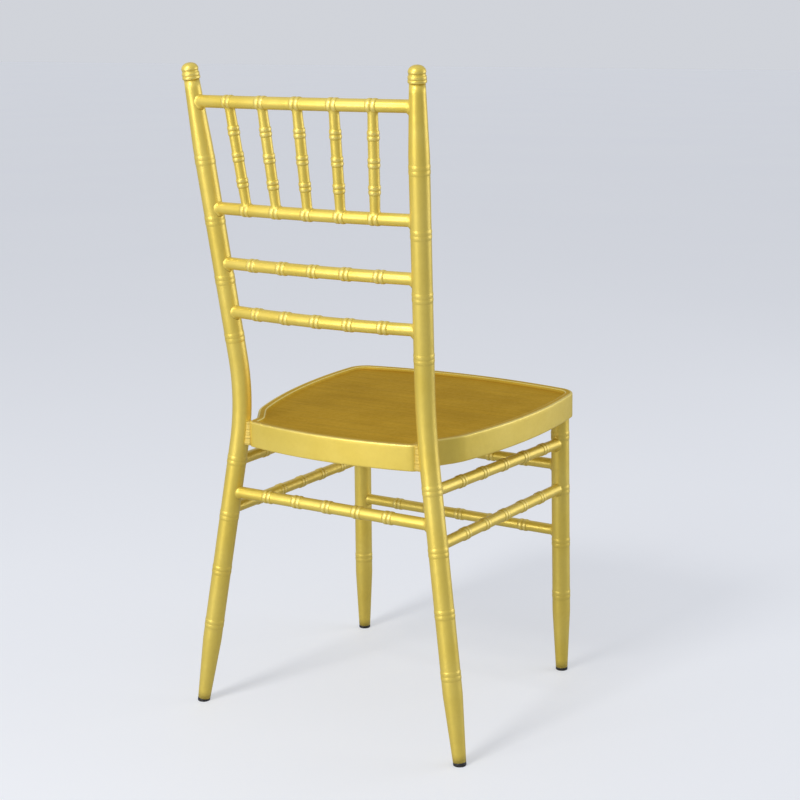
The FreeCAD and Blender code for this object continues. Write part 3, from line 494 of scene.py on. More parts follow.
def weld_rings(form, clear, end, support, seed):
    """The rings from the last plain section of a tube down its weld into the support."""
    point, forward, toward = form.path.at(clear)
    heading = forward * end
    first = form.ring(clear)
    hits = [support.contact(start, heading) for start in first]
    columns = []
    for turn, start, hit in zip(TURNS, first, hits):
        around = toward * math.cos(turn) + forward.cross(toward) * math.sin(turn)
        _, out = support.surface(hit)
        below = max(0.0, -around.z)
        ripple = sum(share * math.sin(waves * turn + seeds * seed)
                     for waves, seeds, share in WELD_RIPPLES)
        size = (WELD_SIZE + WELD_LUMP * below ** 2) * (1 + ripple)
        sideways = (around - out * around.dot(out)).normalized()
        foot, foot_out = support.surface(hit + sideways * size)
        top = hit - heading * size
        column = [start.lerp(top, 0.5), top]
        for step in range(1, WELD_STEPS + 1):
            share = step / WELD_STEPS
            corner = hit + (top + foot - hit * 2) * WELD_FULLNESS
            sink = WELD_SINK * share ** 3
            column.append(curved(top, corner, foot, share) - foot_out * sink)
        column.append(foot - foot_out * WELD_ROOT - sideways * size * 0.5)
        columns.append(column)
    rings = [list(ring) for ring in zip(*columns)]
    # Painted shade in the crease at the weld's foot, darker towards the foot
    marks = [WELD_FOOT_SHADE * (step / WELD_STEPS) ** 3 for step in range(1, WELD_STEPS + 1)]
    crests = [0.0, 0.0] + marks + [WELD_FOOT_SHADE]
    return rings, crests


def tube_rings(form, start, end, low=None, high=None, spacing=POST_ROW_SPACING, seed=0.0):
    """All sections of a tube from its low end to its high end, with the crest of each.

    An end that is welded on comes as its support and the length that the weld needs.
    """
    low_clear = start + low[1] if low else start
    high_clear = end - high[1] if high else end
    count = max(2, round((high_clear - low_clear) / spacing))
    places = [low_clear + (high_clear - low_clear) * number / count for number in range(count + 1)]
    rows = [row for ring in form.beads for row in ring.rows() if low_clear < row < high_clear]
    knots = [place for place, _ in form.knots if low_clear < place < high_clear]
    places = [place for place in places[1:-1]
              if all(abs(place - row) > ROW_CLEARANCE for row in rows + knots)]
    places = sorted({round(place, 3) for place in places + rows + knots})
    places = [low_clear] + places + [high_clear]
    rings = [form.ring(place) for place in places]
    crests = [form.crest(place) for place in places]
    if low:
        extra, marks = weld_rings(form, low_clear, -1, low[0], seed)
        rings = extra[::-1] + rings
        crests = marks[::-1] + crests
    if high:
        extra, marks = weld_rings(form, high_clear, 1, high[0], seed + SEED_STEP)
        rings = rings + extra
        crests = crests + marks
    return rings, crests


def new_object(name, points, faces, crests, material):
    """A smooth mesh object that rides with the chair and stands for the CAD node of its name."""
    mesh = bpy.data.meshes.new(name)
    mesh.from_pydata([point * MM for point in points], [], faces)
    mesh.update()
    for polygon in mesh.polygons:
        polygon.use_smooth = True
    mesh.attributes.new("crest", "FLOAT", "POINT").data.foreach_set("value", crests)
    mesh.materials.append(material)
    thing = bpy.data.objects.new(name, mesh)
    bpy.context.scene.collection.objects.link(thing)
    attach(thing, "root")
    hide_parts(name)
    return thing


def skin(name, rings, crests, material):
    """A closed mesh over a row of rings, with a fan of faces at each end."""
    count = len(rings[0])
    points = [point for ring in rings for point in ring]
    marks = [crest for crest in crests for _ in range(count)]
    faces = []
    for row in range(len(rings) - 1):
        for column in range(count):
            after = (column + 1) % count
            faces.append((row * count + column, row * count + after,
                          (row + 1) * count + after, (row + 1) * count + column))
    for row, order in ((0, -1), (len(rings) - 1, 1)):
        hub = len(points)
        points.append(sum(rings[row], Vector()) / count)
        marks.append(crests[row])
        for column in range(count):
            edge = (row * count + column, row * count + (column + 1) % count)
            faces.append((hub,) + edge[::order])
    if is_inside_out(points, faces):
        faces = [face[::-1] for face in faces]
    return new_object(name, points, faces, marks, material)


def is_inside_out(points, faces):
    """Whether the faces of a closed mesh look inward."""
    volume = 0.0
    for face in faces:
        first = points[face[0]]
        for second, third in zip(face[1:], face[2:]):
            volume += first.dot(points[second].cross(points[third]))
    return volume < 0


# Materials
def node(tree, kind, **settings):
    """A new node with its properties set."""
    made = tree.nodes.new(kind)
    for name, value in settings.items():
        setattr(made, name, value)
    return made


def noise(tree, vector, scale, detail=3.0, roughness=0.5):
    """A noise texture's factor."""
    made = node(tree, "ShaderNodeTexNoise")
    made.inputs["Scale"].default_value = scale
    made.inputs["Detail"].default_value = detail
    made.inputs["Roughness"].default_value = roughness
    tree.links.new(vector, made.inputs["Vector"])
    return made.outputs["Fac"]


def spread(tree, value, low, high, new_low, new_high):
    """A value moved from one range to another."""
    made = node(tree, "ShaderNodeMapRange")
    for name, amount in (("From Min", low), ("From Max", high),
                         ("To Min", new_low), ("To Max", new_high)):
        made.inputs[name].default_value = amount
    tree.links.new(value, made.inputs["Value"])
    return made.outputs["Result"]


def blend(tree, share, first, second):
    """A mix of two colours; each is a socket or a colour."""
    made = node(tree, "ShaderNodeMix", data_type="RGBA")
    tree.links.new(share, made.inputs["Factor"])
    for socket, colour in ((made.inputs[6], first), (made.inputs[7], second)):
        if isinstance(colour, tuple):
            socket.default_value = (*colour, 1.0)
        else:
            tree.links.new(colour, socket)
    return made.outputs[2]


def calculate(tree, kind, first, second):
    """One sum or product of two values; the second may be a number."""
    made = node(tree, "ShaderNodeMath", operation=kind)
    tree.links.new(first, made.inputs[0])
    if isinstance(second, float):
        made.inputs[1].default_value = second
    else:
        tree.links.new(second, made.inputs[1])
    return made.outputs[0]


def linear(red, green, blue):
    """A screen colour from 0 to 255 as the linear colour that shaders use."""
    shares = [channel / 255 for channel in (red, green, blue)]
    return tuple(share / 12.92 if share < 0.04045 else ((share + 0.055) / 1.055) ** 2.4
                 for share in shares)


def new_material(name):
    """A material with its node tree, its shader and the place on the piece, in metres."""
    material = bpy.data.materials.new(name)
    material.use_nodes = True
    tree = material.node_tree
    place = node(tree, "ShaderNodeTexCoord").outputs["Object"]
    return material, tree, tree.nodes["Principled BSDF"], place


def add_bump(tree, shader, height, distance):
    """Fine relief from a height."""
    bump = node(tree, "ShaderNodeBump")
    bump.inputs["Strength"].default_value = BUMP_STRENGTH
    bump.inputs["Distance"].default_value = distance
    tree.links.new(height, bump.inputs["Height"])
    tree.links.new(bump.outputs["Normal"], shader.inputs["Normal"])


def lacquer(name, pale, deep, shade_and_blotch, wear_and_highlight, edge, metallic, smooth, rough, coat, mottle, streak):
    """Gold lacquer: cloudy colour, painted shade in the grooves, crests paler as wear on the rings
    and as painted highlight on the pan's rim, orange peel and fine grain.

    The colours are screen colours, and edge tints the shine. The roughness goes from smooth to
    rough, and mottle and streak are shares of the painted shade's colour in blotches and lines.
    """
    material, tree, shader, place = new_material(name)
    pale, deep, shade_and_blotch, wear_and_highlight = (linear(*colour) for colour in (pale, deep, shade_and_blotch, wear_and_highlight))
    crest = node(tree, "ShaderNodeAttribute", attribute_name="crest").outputs["Fac"]

    cloud = spread(tree, noise(tree, place, CLOUD_SCALE), 0.35, 0.65, 0.0, 1.0)
    fine = noise(tree, place, FINE_SCALE, 4.0, 0.6)
    grain = noise(tree, place, GRAIN_SCALE, 2.0, 0.6)
    brushed = node(tree, "ShaderNodeMapping")
    brushed.inputs["Scale"].default_value = STREAK_SCALE
    tree.links.new(place, brushed.inputs["Vector"])
    lines = noise(tree, brushed.outputs["Vector"], 1.0, 3.0, 0.6)
    colour = blend(tree, cloud, pale, deep)
    colour = blend(tree, spread(tree, lines, 0.4, 0.7, 0.0, streak), colour, shade_and_blotch)
    colour = blend(tree, spread(tree, fine, 0.42, 0.75, 0.0, mottle), colour, shade_and_blotch)
    ragged = calculate(tree, "ADD", crest, spread(tree, fine, 0.3, 0.7, -0.12, 0.12))
    # Painted shade: the darker colour where the crest is below nought, in ring grooves, at weld
    # feet, at the finial's neck and round the pan's slope
    colour = blend(tree, spread(tree, ragged, -0.25, -2.1, 0.0, 1.0), colour, shade_and_blotch)
    # Paler where the crest is high: wear on ring and finial crests, and a painted highlight on the
    # pan's ledge, slope top, rounded rim and apron lip
    colour = blend(tree, spread(tree, ragged, 0.4, 1.0, 0.0, 0.25), colour, wear_and_highlight)
    tree.links.new(colour, shader.inputs["Base Color"])

    gloss = spread(tree, fine, 0.3, 0.7, smooth, rough)
    gloss = calculate(tree, "ADD", gloss, spread(tree, ragged, -0.2, -0.9, 0.0, 0.12))
    tree.links.new(gloss, shader.inputs["Roughness"])

    peel = calculate(tree, "MULTIPLY", noise(tree, place, PEEL_SCALE, 2.0, 0.4), 0.7)
    wave = calculate(tree, "MULTIPLY", noise(tree, place, WAVE_SCALE, 1.0, 0.4), 5.0)
    height = calculate(tree, "ADD", peel, calculate(tree, "MULTIPLY", grain, 0.3))
    height = calculate(tree, "ADD", height, wave)
    add_bump(tree, shader, height, LACQUER_RELIEF)

    shader.inputs["Metallic"].default_value = metallic
    shader.inputs["Specular Tint"].default_value = (*edge, 1.0)
    shader.inputs["Coat Weight"].default_value = coat
    shader.inputs["Coat Roughness"].default_value = COAT_ROUGHNESS
    return material


def plastic(name):
    """Black moulded plastic of the foot plugs, scuffed grey where it meets the floor."""
    material, tree, shader, place = new_material(name)
    fine = noise(tree, place, SCUFF_SCALE, 4.0, 0.6)
    height = node(tree, "ShaderNodeSeparateXYZ")
    tree.links.new(place, height.inputs[0])
    low = spread(tree, height.outputs["Z"], 0.0, SCUFF_HEIGHT, 1.0, 0.0)
    scuff = calculate(tree, "MULTIPLY", low, spread(tree, fine, 0.4, 0.7, 0.0, 1.0))
    colour = blend(tree, scuff, PLUG_BLACK, PLUG_SCUFFED)
    tree.links.new(colour, shader.inputs["Base Color"])
    tree.links.new(spread(tree, fine, 0.3, 0.7, 0.42, 0.62), shader.inputs["Roughness"])
    add_bump(tree, shader, fine, PLUG_RELIEF)
    return material


gold = lacquer("gold_lacquer", pale=(239, 214, 102), deep=(233, 206, 88), shade_and_blotch=(158, 122, 42),
               wear_and_highlight=(255, 242, 175), edge=(1.0, 0.94, 0.78), metallic=0.52, smooth=0.36,
               rough=0.45, coat=0.3, mottle=0.06, streak=0.0)
# Painted dark reflection: the pan's gold is the same lacquer in a darker, more orange copy for the
# dish
pan_gold_dark_reflection = lacquer("gold_pan", pale=(221, 180, 65), deep=(209, 168, 53), shade_and_blotch=(164, 126, 37),
                   wear_and_highlight=(250, 222, 124), edge=(0.88, 0.67, 0.28), metallic=0.82, smooth=0.34,
                   rough=0.46, coat=0.0, mottle=0.2, streak=0.3)
weld_gold = lacquer("gold_weld", pale=(226, 200, 104), deep=(216, 188, 90), shade_and_blotch=(158, 122, 42),
                    wear_and_highlight=(250, 236, 170), edge=(1.0, 0.94, 0.8), metallic=0.15, smooth=0.55,
                    rough=0.7, coat=0.0, mottle=0.15, streak=0.0)
black = plastic("black_plug")


# Posts and legs
def ring_places(first, length, margin):
    """The places of evenly spaced rings along a post or leg."""
    pitch = (length - first - margin) / (RING_COUNT - 1)
    return [first + pitch * number for number in range(RING_COUNT)]


def soft_rings(places):
    """The soft double rings of posts and legs."""
    return Beads(places, RING_WIDTH, RING_RISE, RING_VALLEY, RING_FULLNESS)


def tube_beads(places):
    """The crisp double beads of rails and stretchers."""
    return Beads(places, BEAD_WIDTH, BEAD_RISE, BEAD_VALLEY, BEAD_FULLNESS)


leg_length = (LEG_TOP - LEG_FOOT).length
upper_length = (POST_TOP - POST_BEND).length
leg_places = ring_places(LEG_RING_FIRST, leg_length, LEG_RING_MARGIN)

posts = {}
legs = {}
for side_name, side in SIDES.items():
    path = post_path(side)
    (lower_run, _), (bend_run, _), _ = path.runs
    setback = BEND_RADIUS * math.tan(bend_run / BEND_RADIUS / 2)
    bend_end = lower_run + bend_run
    back_places = [bend_end + place - setback for place in
                   ring_places(BACK_RING_FIRST, upper_length, BACK_RING_MARGIN)]
    knots = [(PLUG_THICKNESS, FOOT_RADIUS), (PLUG_THICKNESS + FOOT_TAPER, POST_RADIUS),
             (path.length - POST_TOP_TAPER, POST_RADIUS), (path.length, POST_TOP_RADIUS)]
    posts[side_name] = Form(path, knots, [soft_rings(leg_places + back_places)])
    knots = [(PLUG_THICKNESS, FOOT_RADIUS), (PLUG_THICKNESS + FOOT_TAPER, LEG_RADIUS),
             (leg_length + LEG_RADIUS, LEG_RADIUS)]
    path = straight_path(mirrored(LEG_FOOT, side), mirrored(LEG_TOP, side))
    legs[side_name] = Form(path, knots, [soft_rings(leg_places)])

seat_up = Vector((0, math.sin(SEAT_TILT), math.cos(SEAT_TILT)))
dish_under = FlatSupport(Vector((0, 0, SEAT_HEIGHT)) - seat_up * (DISH_DEPTH + SEAT_SHEET),
                         -seat_up)
for side_name in SIDES:
    form = posts[side_name]
    rings, crests = tube_rings(form, PLUG_THICKNESS, form.path.length)
    skin(f"rear_post_{side_name}", rings, crests, gold)
    form = legs[side_name]
    rings, crests = tube_rings(form, PLUG_THICKNESS, leg_length,
                               high=(dish_under, LEG_END_MARGIN))
    skin(f"front_leg_{side_name}", rings, crests, gold)


# Rails, spindles and stretchers
def along_to(path, point):
    """How far along a straight start of a path the nearest place to a point is."""
    return (point - path.start).dot(path.forward)


def along_back(path, point):
    """The same for the straight back of a rear post, measured from the foot."""
    bend_end = path.runs[0][0] + path.runs[1][0]
    start, forward, _ = path.at(bend_end)
    return bend_end + (point - start).dot(forward)


def weld_end(support):
    """A support with the distance from its axis at which the plain tube ends."""
    return support, support.form.radius(support.along) + END_MARGIN


def even_places(middle, pitch, count):
    """Evenly spaced places on both sides of a middle."""
    return [middle + pitch * (step - (count - 1) / 2) for step in range(count)]


def back_rail(name, height, bow, seed):
    """One bowed rail between the rear posts."""
    path = bow_path(height, bow)
    pitch = TOP_BEAD_PITCH if name == "top_rail" else RAIL_BEAD_PITCH
    beads = tube_beads(even_places(path.length / 2, pitch, BEAD_COUNT))
    form = Form(path, [(0, RAIL_RADIUS), (path.length, RAIL_RADIUS)], [beads])
    landings = []
    for side_name in ("right", "left"):
        side, post = SIDES[side_name], posts[side_name]
        point = at_height(mirrored(POST_BEND, side), mirrored(POST_TOP, side), height)
        landings.append(weld_end(RoundSupport(post, along_back(post.path, point))))
    rings, crests = tube_rings(form, 0, path.length, *landings, RAIL_ROW_SPACING, seed)
    skin(name, rings, crests, gold)
    return form


def spindle(number, low_rail, high_rail):
    """One short upright from bead to bead of two rails, counted from the right."""
    step = number - (BEAD_COUNT + 1) / 2
    low_along = low_rail.path.length / 2 + RAIL_BEAD_PITCH * step
    high_along = high_rail.path.length / 2 + TOP_BEAD_PITCH * step
    path = straight_path(low_rail.path.at(low_along)[0], high_rail.path.at(high_along)[0])
    length = path.length
    places = even_places(length / 2, SPINDLE_BEAD_PITCH, SPINDLE_BEAD_COUNT)
    beads = Beads(places, SPINDLE_BEAD_WIDTH, SPINDLE_BEAD_RISE, BEAD_VALLEY, BEAD_FULLNESS)
    knots = [(0, SPINDLE_END_RADIUS), (SPINDLE_SWELL, SPINDLE_RADIUS),
             (length - SPINDLE_SWELL, SPINDLE_RADIUS), (length, SPINDLE_END_RADIUS)]
    form = Form(path, knots, [beads])
    landings = [weld_end(RoundSupport(rail, along))
                for rail, along in ((low_rail, low_along), (high_rail, high_along))]
    rings, crests = tube_rings(form, 0, length, *landings, RAIL_ROW_SPACING, number)
    skin(f"spindle_{number}", rings, crests, gold)


def stretcher(name, start, end, radius, pitch, shift, supports, seed):
    """One straight beaded tube, welded to the tube at each end."""
    path = straight_path(start, end)
    beads = tube_beads(even_places(path.length / 2 + shift, pitch, BEAD_COUNT))
    form = Form(path, [(0, radius), (path.length, radius)], [beads])
    landings = [weld_end(RoundSupport(carrier, along_to(carrier.path, point)))
                for carrier, point in zip(supports, (start, end))]
    rings, crests = tube_rings(form, 0, path.length, *landings, RAIL_ROW_SPACING, seed)
    skin(name, rings, crests, gold)


def on_post(side, drop):
    """The point of a rear post's axis at a drop below the rim of the seat."""
    return at_height(mirrored(POST_FOOT, side), mirrored(POST_BEND, side), SEAT_HEIGHT - drop)


def on_leg(side, drop):
    """The point of a front leg's axis at a drop below the rim of the seat."""
    return at_height(mirrored(LEG_FOOT, side), mirrored(LEG_TOP, side), SEAT_HEIGHT - drop)


rails = {name: back_rail(name, height, bow, seed)
         for seed, (name, (height, bow)) in enumerate(RAILS.items())}
for number in range(1, BEAD_COUNT + 1):
    spindle(number, rails["spindle_rail"], rails["top_rail"])
for side_name, side in SIDES.items():
    for level, (rear, front, pitch, shift) in SIDE_STRETCHERS.items():
        stretcher(f"side_stretcher_{level}_{side_name}", on_post(side, rear), on_leg(side, front),
                  STRETCHER_RADIUS, pitch, shift, (posts[side_name], legs[side_name]),
                  rear + side)
for level, drop in FRONT_STRETCHERS.items():
    stretcher(f"front_stretcher_{level}", on_leg(1, drop), on_leg(-1, drop), STRETCHER_RADIUS,
              FRONT_BEAD_PITCH, FRONT_BEAD_SHIFT, (legs["left"], legs["right"]), drop)
stretcher("rear_stretcher", on_post(1, REAR_DROP), on_post(-1, REAR_DROP), RAIL_RADIUS,
          REAR_BEAD_PITCH, REAR_BEAD_SHIFT, (posts["left"], posts["right"]), REAR_SEED)


# Finials and foot plugs
def turned(name, path, profile, material, slot="gold_lacquer", floor=None):
    """A round piece: rings of a profile of distance along, radius and crest."""
    rings = [round_section(path, along, radius) for along, radius, _ in profile]
    if floor is not None:
        rings = [[Vector((corner.x, corner.y, max(corner.z, floor))) for corner in ring]
                 for ring in rings]
    skin(name, rings, [crest for _, _, crest in profile], material)


def finial_profile():
    """Two soft rings, a neck and a domed cap, from the post's top upwards."""
    floor = FINIAL_NECK_RADIUS + FINIAL_VALLEY
    # The neck's negative crests paint shade below and between the rings
    profile = [(-FINIAL_SPIGOT, FINIAL_SPIGOT_RADIUS, 0.0), (-0.2, FINIAL_SPIGOT_RADIUS, 0.0),
               (0.0, FINIAL_NECK_RADIUS - 0.5, -0.7)]
    for start, end, peak in FINIAL_RINGS:
        for step in range(FINIAL_RING_STEPS + 1):
            angle = math.pi * step / FINIAL_RING_STEPS
            bump = math.sin(angle) ** BEAD_FULLNESS
            crest = FINIAL_RING_CREST * bump if step % FINIAL_RING_STEPS else FINIAL_GROOVE_SHADE
            along = start + 0.02 + (end - start) * (1 - math.cos(angle)) / 2
            profile.append((along, floor + (peak - floor) * bump, crest))
    profile.append((FINIAL_RINGS[-1][1] + 0.4, FINIAL_NECK_RADIUS, -0.2))
    profile.append((FINIAL_NECK_TOP - 0.5, FINIAL_NECK_RADIUS - 0.1, -0.6))
    lip = FINIAL_CAP_RADIUS - FINIAL_NECK_RADIUS
    for step in range(FINIAL_LIP_STEPS + 1):
        angle = math.pi / 2 * step / FINIAL_LIP_STEPS
        profile.append((FINIAL_NECK_TOP + FINIAL_LIP * (1 - math.cos(angle)),
                        FINIAL_NECK_RADIUS + lip * math.sin(angle),
                        FINIAL_LIP_CREST * step / FINIAL_LIP_STEPS))
    dome = FINIAL_HEIGHT - FINIAL_CAP_TOP
    rise_power, width_power = FINIAL_DOME_POWERS
    for step in range(1, FINIAL_DOME_STEPS):
        angle = math.pi / 2 * step / FINIAL_DOME_STEPS
        profile.append((FINIAL_CAP_TOP + dome * math.sin(angle) ** rise_power,
                        FINIAL_CAP_RADIUS * math.cos(angle) ** width_power,
                        FINIAL_RIM_CREST if step < FINIAL_RIM_STEPS else 0.0))
    return profile


plug_profile = [(along, FOOT_RADIUS - inset, 0.0) for along, inset in PLUG_SECTION]
for side_name, side in SIDES.items():
    bend, top = mirrored(POST_BEND, side), mirrored(POST_TOP, side)
    turned(f"finial_{side_name}", straight_path(top, top + (top - bend)), finial_profile(), gold)
    for end, form in (("rear", posts[side_name]), ("front", legs[side_name])):
        turned(f"foot_plug_{end}_{side_name}", form.path, plug_profile, black, "black_plug", 0.0)


# Seat pan
def seat_point(across, along, height):
    """A point of the seat's own plane in the frame of the chair."""
    cosine, sine = math.cos(SEAT_TILT), math.sin(SEAT_TILT)
    return Vector((across, along * cosine + height * sine,
                   SEAT_HEIGHT - along * sine + height * cosine))


def left_post_where(is_above):
    """The point of the left rear post's axis above which a test of such points holds."""
    path = posts["left"].path
    low, high = POST_SEARCH
    for _ in range(SEARCH_STEPS):
        middle = (low + high) / 2
        low, high = (low, middle) if is_above(path.at(middle)[0]) else (middle, high)
    return path.at(low)[0]


def post_at_rim():
    """Where the left rear post's axis passes the plane of the rim, in the seat's plane."""
    centre = Vector((0, 0, SEAT_HEIGHT))
    crossing = left_post_where(lambda point: (point - centre).dot(seat_up) > 0) - centre
    ahead = Vector((0, math.cos(SEAT_TILT), -math.sin(SEAT_TILT)))
    return crossing.x, crossing.dot(ahead)


POST_X, POST_Y = post_at_rim()
WAIST_X = POST_X - POST_RADIUS - SEAT_GAP
SEAT_REAR_BOW = (WAIST_X ** 2 + SEAT_REAR_FALL ** 2) / (2 * SEAT_REAR_FALL)


def flat(across, along):
    """A point of the outline's plane."""
    return Vector((across, along))


def arc(centre, radius, start, end, steps):
    """Points of an arc without its last one."""
    return [centre + flat(math.cos(turn), math.sin(turn)) * radius
            for turn in (start + (end - start) * step / steps for step in range(steps))]


def line(start, end, steps):
    """Points of a straight line without its last one."""
    return [start.lerp(end, step / steps) for step in range(steps)]


def bearing(ray):
    """The direction of a ray, in radians."""
    return math.atan2(ray.y, ray.x)


def pan_outline(inset):
    """The outline of the seat moved in by an inset: the same count of points each time.

    A name that ends in _f is the centre of the curve that rounds a corner.
    """
    waist = WAIST_X - inset
    rear = flat(0, SEAT_REAR - SEAT_REAR_BOW)
    rear_radius = SEAT_REAR_BOW - inset
    side = flat(SEAT_HALF_WIDTH - SEAT_SIDE_BOW, -SEAT_WIDEST)
    side_radius = SEAT_SIDE_BOW - inset
    front = flat(0, SEAT_FRONT_BOW - SEAT_FRONT)
    front_radius = SEAT_FRONT_BOW - inset
    corner = max(REAR_CORNER_CURVE - inset, LEAST_CORNER_CURVE)
    waist_turn = WAIST_CURVE + inset
    shoulder = SHOULDER_CURVE - inset
    front_corner = FRONT_CORNER_CURVE - inset

    rear_f = flat(waist - corner,
                  rear.y + math.sqrt((rear_radius - corner) ** 2 - (waist - corner) ** 2))
    down = flat(math.sin(WAIST_ANGLE), -math.cos(WAIST_ANGLE))
    out = flat(math.cos(WAIST_ANGLE), math.sin(WAIST_ANGLE))
    slant = flat(WAIST_X, WAIST_Y) - out * inset
    reach = (waist + waist_turn - slant.x - waist_turn * out.x) / down.x
    waist_f = slant + out * waist_turn + down * reach
    start = slant - out * shoulder - side
    gap = side_radius - shoulder
    reach = math.sqrt(start.dot(down) ** 2 - start.dot(start) + gap ** 2) - start.dot(down)
    shoulder_f = start + side + down * reach
    apart = front - side
    to_side, to_front = side_radius - front_corner, front_radius - front_corner
    share = (to_side ** 2 - to_front ** 2 + apart.dot(apart)) / (2 * apart.dot(apart))
    rise = math.sqrt(to_side ** 2 - (apart * share).dot(apart * share))
    front_f = side + apart * share + flat(apart.y, -apart.x).normalized() * rise

    to_rear, to_shoulder = bearing(rear_f - rear), bearing(shoulder_f - side)
    to_side, to_front = bearing(front_f - side), bearing(front_f - front)
    waist_low = waist_f - out * waist_turn
    shoulder_high = shoulder_f + out * shoulder
    steps = OUTLINE_STEPS
    half = arc(rear, rear_radius, math.pi / 2, to_rear, steps["rear"])
    half += arc(rear_f, corner, to_rear, 0, steps["rear corner"])
    half += line(rear_f + flat(corner, 0), waist_f - flat(waist_turn, 0), steps["neck"])
    half += arc(waist_f, waist_turn, math.pi, math.pi + WAIST_ANGLE, steps["waist"])
    half += line(waist_low, shoulder_high, steps["slant"])
    half += arc(shoulder_f, shoulder, WAIST_ANGLE, to_shoulder, steps["shoulder"])
    half += arc(side, side_radius, to_shoulder, to_side, steps["side"])
    half += arc(front_f, front_corner, to_side, to_front, steps["front corner"])
    half += arc(front, front_radius, to_front, -math.pi / 2, steps["front"])
    half.append(flat(0, front.y - front_radius))
    return half + [flat(-point.x, point.y) for point in half[-2:0:-1]]


def seat_profile():
    """The section of the pan's sheet, from the dish's floor out, down and back under.

    Each corner has its distance inside the outline, its height and its crest, which paints shade
    below nought and a highlight above it.
    """
    edge = SEAT_EDGE_CURVE
    section = [(DISH_FLAT, -DISH_DEPTH, 0.0)]
    for step, crest in enumerate(SLOPE_SHADE_AND_HIGHLIGHT):
        share = step / (len(SLOPE_SHADE_AND_HIGHLIGHT) - 1)
        ease = share * share * (3 - 2 * share)
        section.append((DISH_FOOT + SLOPE_SPREAD - (DISH_SLOPE + 2 * SLOPE_SPREAD) * share,
                        -DISH_DEPTH * (1 - ease), crest))
    section.append((edge + LEDGE_MARGIN, 0.0, LEDGE_HIGHLIGHT))
    for step in range(EDGE_STEPS + 1):
        angle = math.pi / 2 * step / EDGE_STEPS
        section.append((edge * (1 - math.sin(angle)), -edge * (1 - math.cos(angle)),
                        EDGE_HIGHLIGHT if 0 < step < EDGE_STEPS else EDGE_END_HIGHLIGHT))
    section += [(0.0, -depth, 0.0) for depth in APRON_ROWS]
    section += [(inset, rise - APRON_DEPTH, crest) for inset, rise, crest in APRON_LIP]
    section += [(SEAT_SHEET, -depth, 0.0) for depth in INNER_ROWS]
    section += [(inset, -SEAT_SHEET - depth, crest) for inset, depth, crest in UNDERSIDE]
    return section


def dish_ring(share, height):
    """A row of the flat of the dish, drawn in towards its middle."""
    middle = flat(0, (SEAT_REAR - SEAT_FRONT) / 2)
    points = [middle.lerp(point, share) for point in pan_outline(DISH_FLAT)]
    return [seat_point(point.x, point.y, height) for point in points]


def seat_pan():
    """The pressed pan: one closed sheet with its dish, ledge, round edge and apron."""
    section = seat_profile()
    rings = [dish_ring(share, -DISH_DEPTH) for share in reversed(DISH_RINGS)]
    rings += [[seat_point(point.x, point.y, height) for point in pan_outline(inset)]
              for inset, height, _ in section]
    rings += [dish_ring(share, -DISH_DEPTH - SEAT_SHEET) for share in DISH_RINGS]
    plain = [0.0] * len(DISH_RINGS)
    crests = plain + [crest for _, _, crest in section] + plain
    pan = skin("seat_pan", rings, crests, gold)
    pan.data.materials.append(pan_gold_dark_reflection)
    count = len(rings[0])
    first_hub = (len(rings) - 1) * count
    for polygon in pan.data.polygons:
        row = polygon.index // count
        in_dish = first_hub <= polygon.index < first_hub + count
        # The dish, slope and ledge take the darker gold of the painted dark reflection; the slope's
        # top keeps the paler gold as a painted highlight line
        if in_dish or row < DARK_REFLECTION_ROWS and row not in SLOPE_HIGHLIGHT_ROWS:
            polygon.material_index = 1


def seam_half(reaches, ripple, share, gap, curve_start):
    """One half of a weld seam's section, from the pan's wall round to the post.

    The wall leaves the post where the pan's corner starts to curve.
    """
    wall_at, post_at = ((reach + ripple) * share for reach in reaches)
    cut = POST_RADIUS - math.sqrt(POST_RADIUS ** 2 - post_at ** 2)
    past = max(0.0, wall_at - curve_start)
    round_off = REAR_CORNER_CURVE - math.sqrt(REAR_CORNER_CURVE ** 2 - past ** 2)
    wall_sink, post_sink = SEAM_SINKS
    wall = flat(WAIST_X - round_off - wall_sink, wall_at)
    post = flat(WAIST_X + gap + cut + post_sink, post_at)
    corner = wall.lerp(post, 0.5) + flat(0, SEAM_FULLNESS + ripple)
    bend = [curved(wall, corner, post, step / SEAM_STEPS) for step in range(SEAM_STEPS + 1)]
    (wall_depth, wall_share), (post_depth, post_share) = SEAM_ROOTS
    return ([flat(wall.x - wall_depth, wall_at * wall_share)] + bend
            + [flat(post.x + post_depth, post_at * post_share)])


def seat_seam(side_name):
    """The lumpy weld between the pan's waist and the post."""
    side = SIDES[side_name]
    curve_start = (SEAT_REAR - SEAT_REAR_BOW - POST_Y
                   + math.sqrt((SEAT_REAR_BOW - REAR_CORNER_CURVE) ** 2
                               - (WAIST_X - REAR_CORNER_CURVE) ** 2))
    rings = []
    for row in range(SEAM_ROWS + 1):
        depth = SEAM_MARGIN + (APRON_DEPTH - 2 * SEAM_MARGIN) * row / SEAM_ROWS
        height = seat_point(0, POST_Y, -depth).z
        axis = left_post_where(lambda point: point.z > height)
        gap = axis.x - POST_RADIUS - WAIST_X
        ripple = (SEAM_LUMP * abs(math.sin(math.pi * row / SEAM_LUMP_ROWS))
                  + SEAM_WAVE * math.sin(row * SEAM_WAVE_PITCH))
        share = SEAM_END_SHARE if row in (0, SEAM_ROWS) else 1.0
        rear = seam_half(SEAM_REAR, ripple, share, gap, curve_start)
        front = seam_half(SEAM_FRONT, ripple, share, gap, math.inf)
        ring = rear + [flat(point.x, -point.y) for point in reversed(front)]
        rings.append([Vector((side * point.x, axis.y + point.y, height)) for point in ring])
    skin(f"seat_seam_{side_name}", rings, [SEAM_CREST] * len(rings), weld_gold)


seat_pan()
for side_name in SIDES:
    seat_seam(side_name)


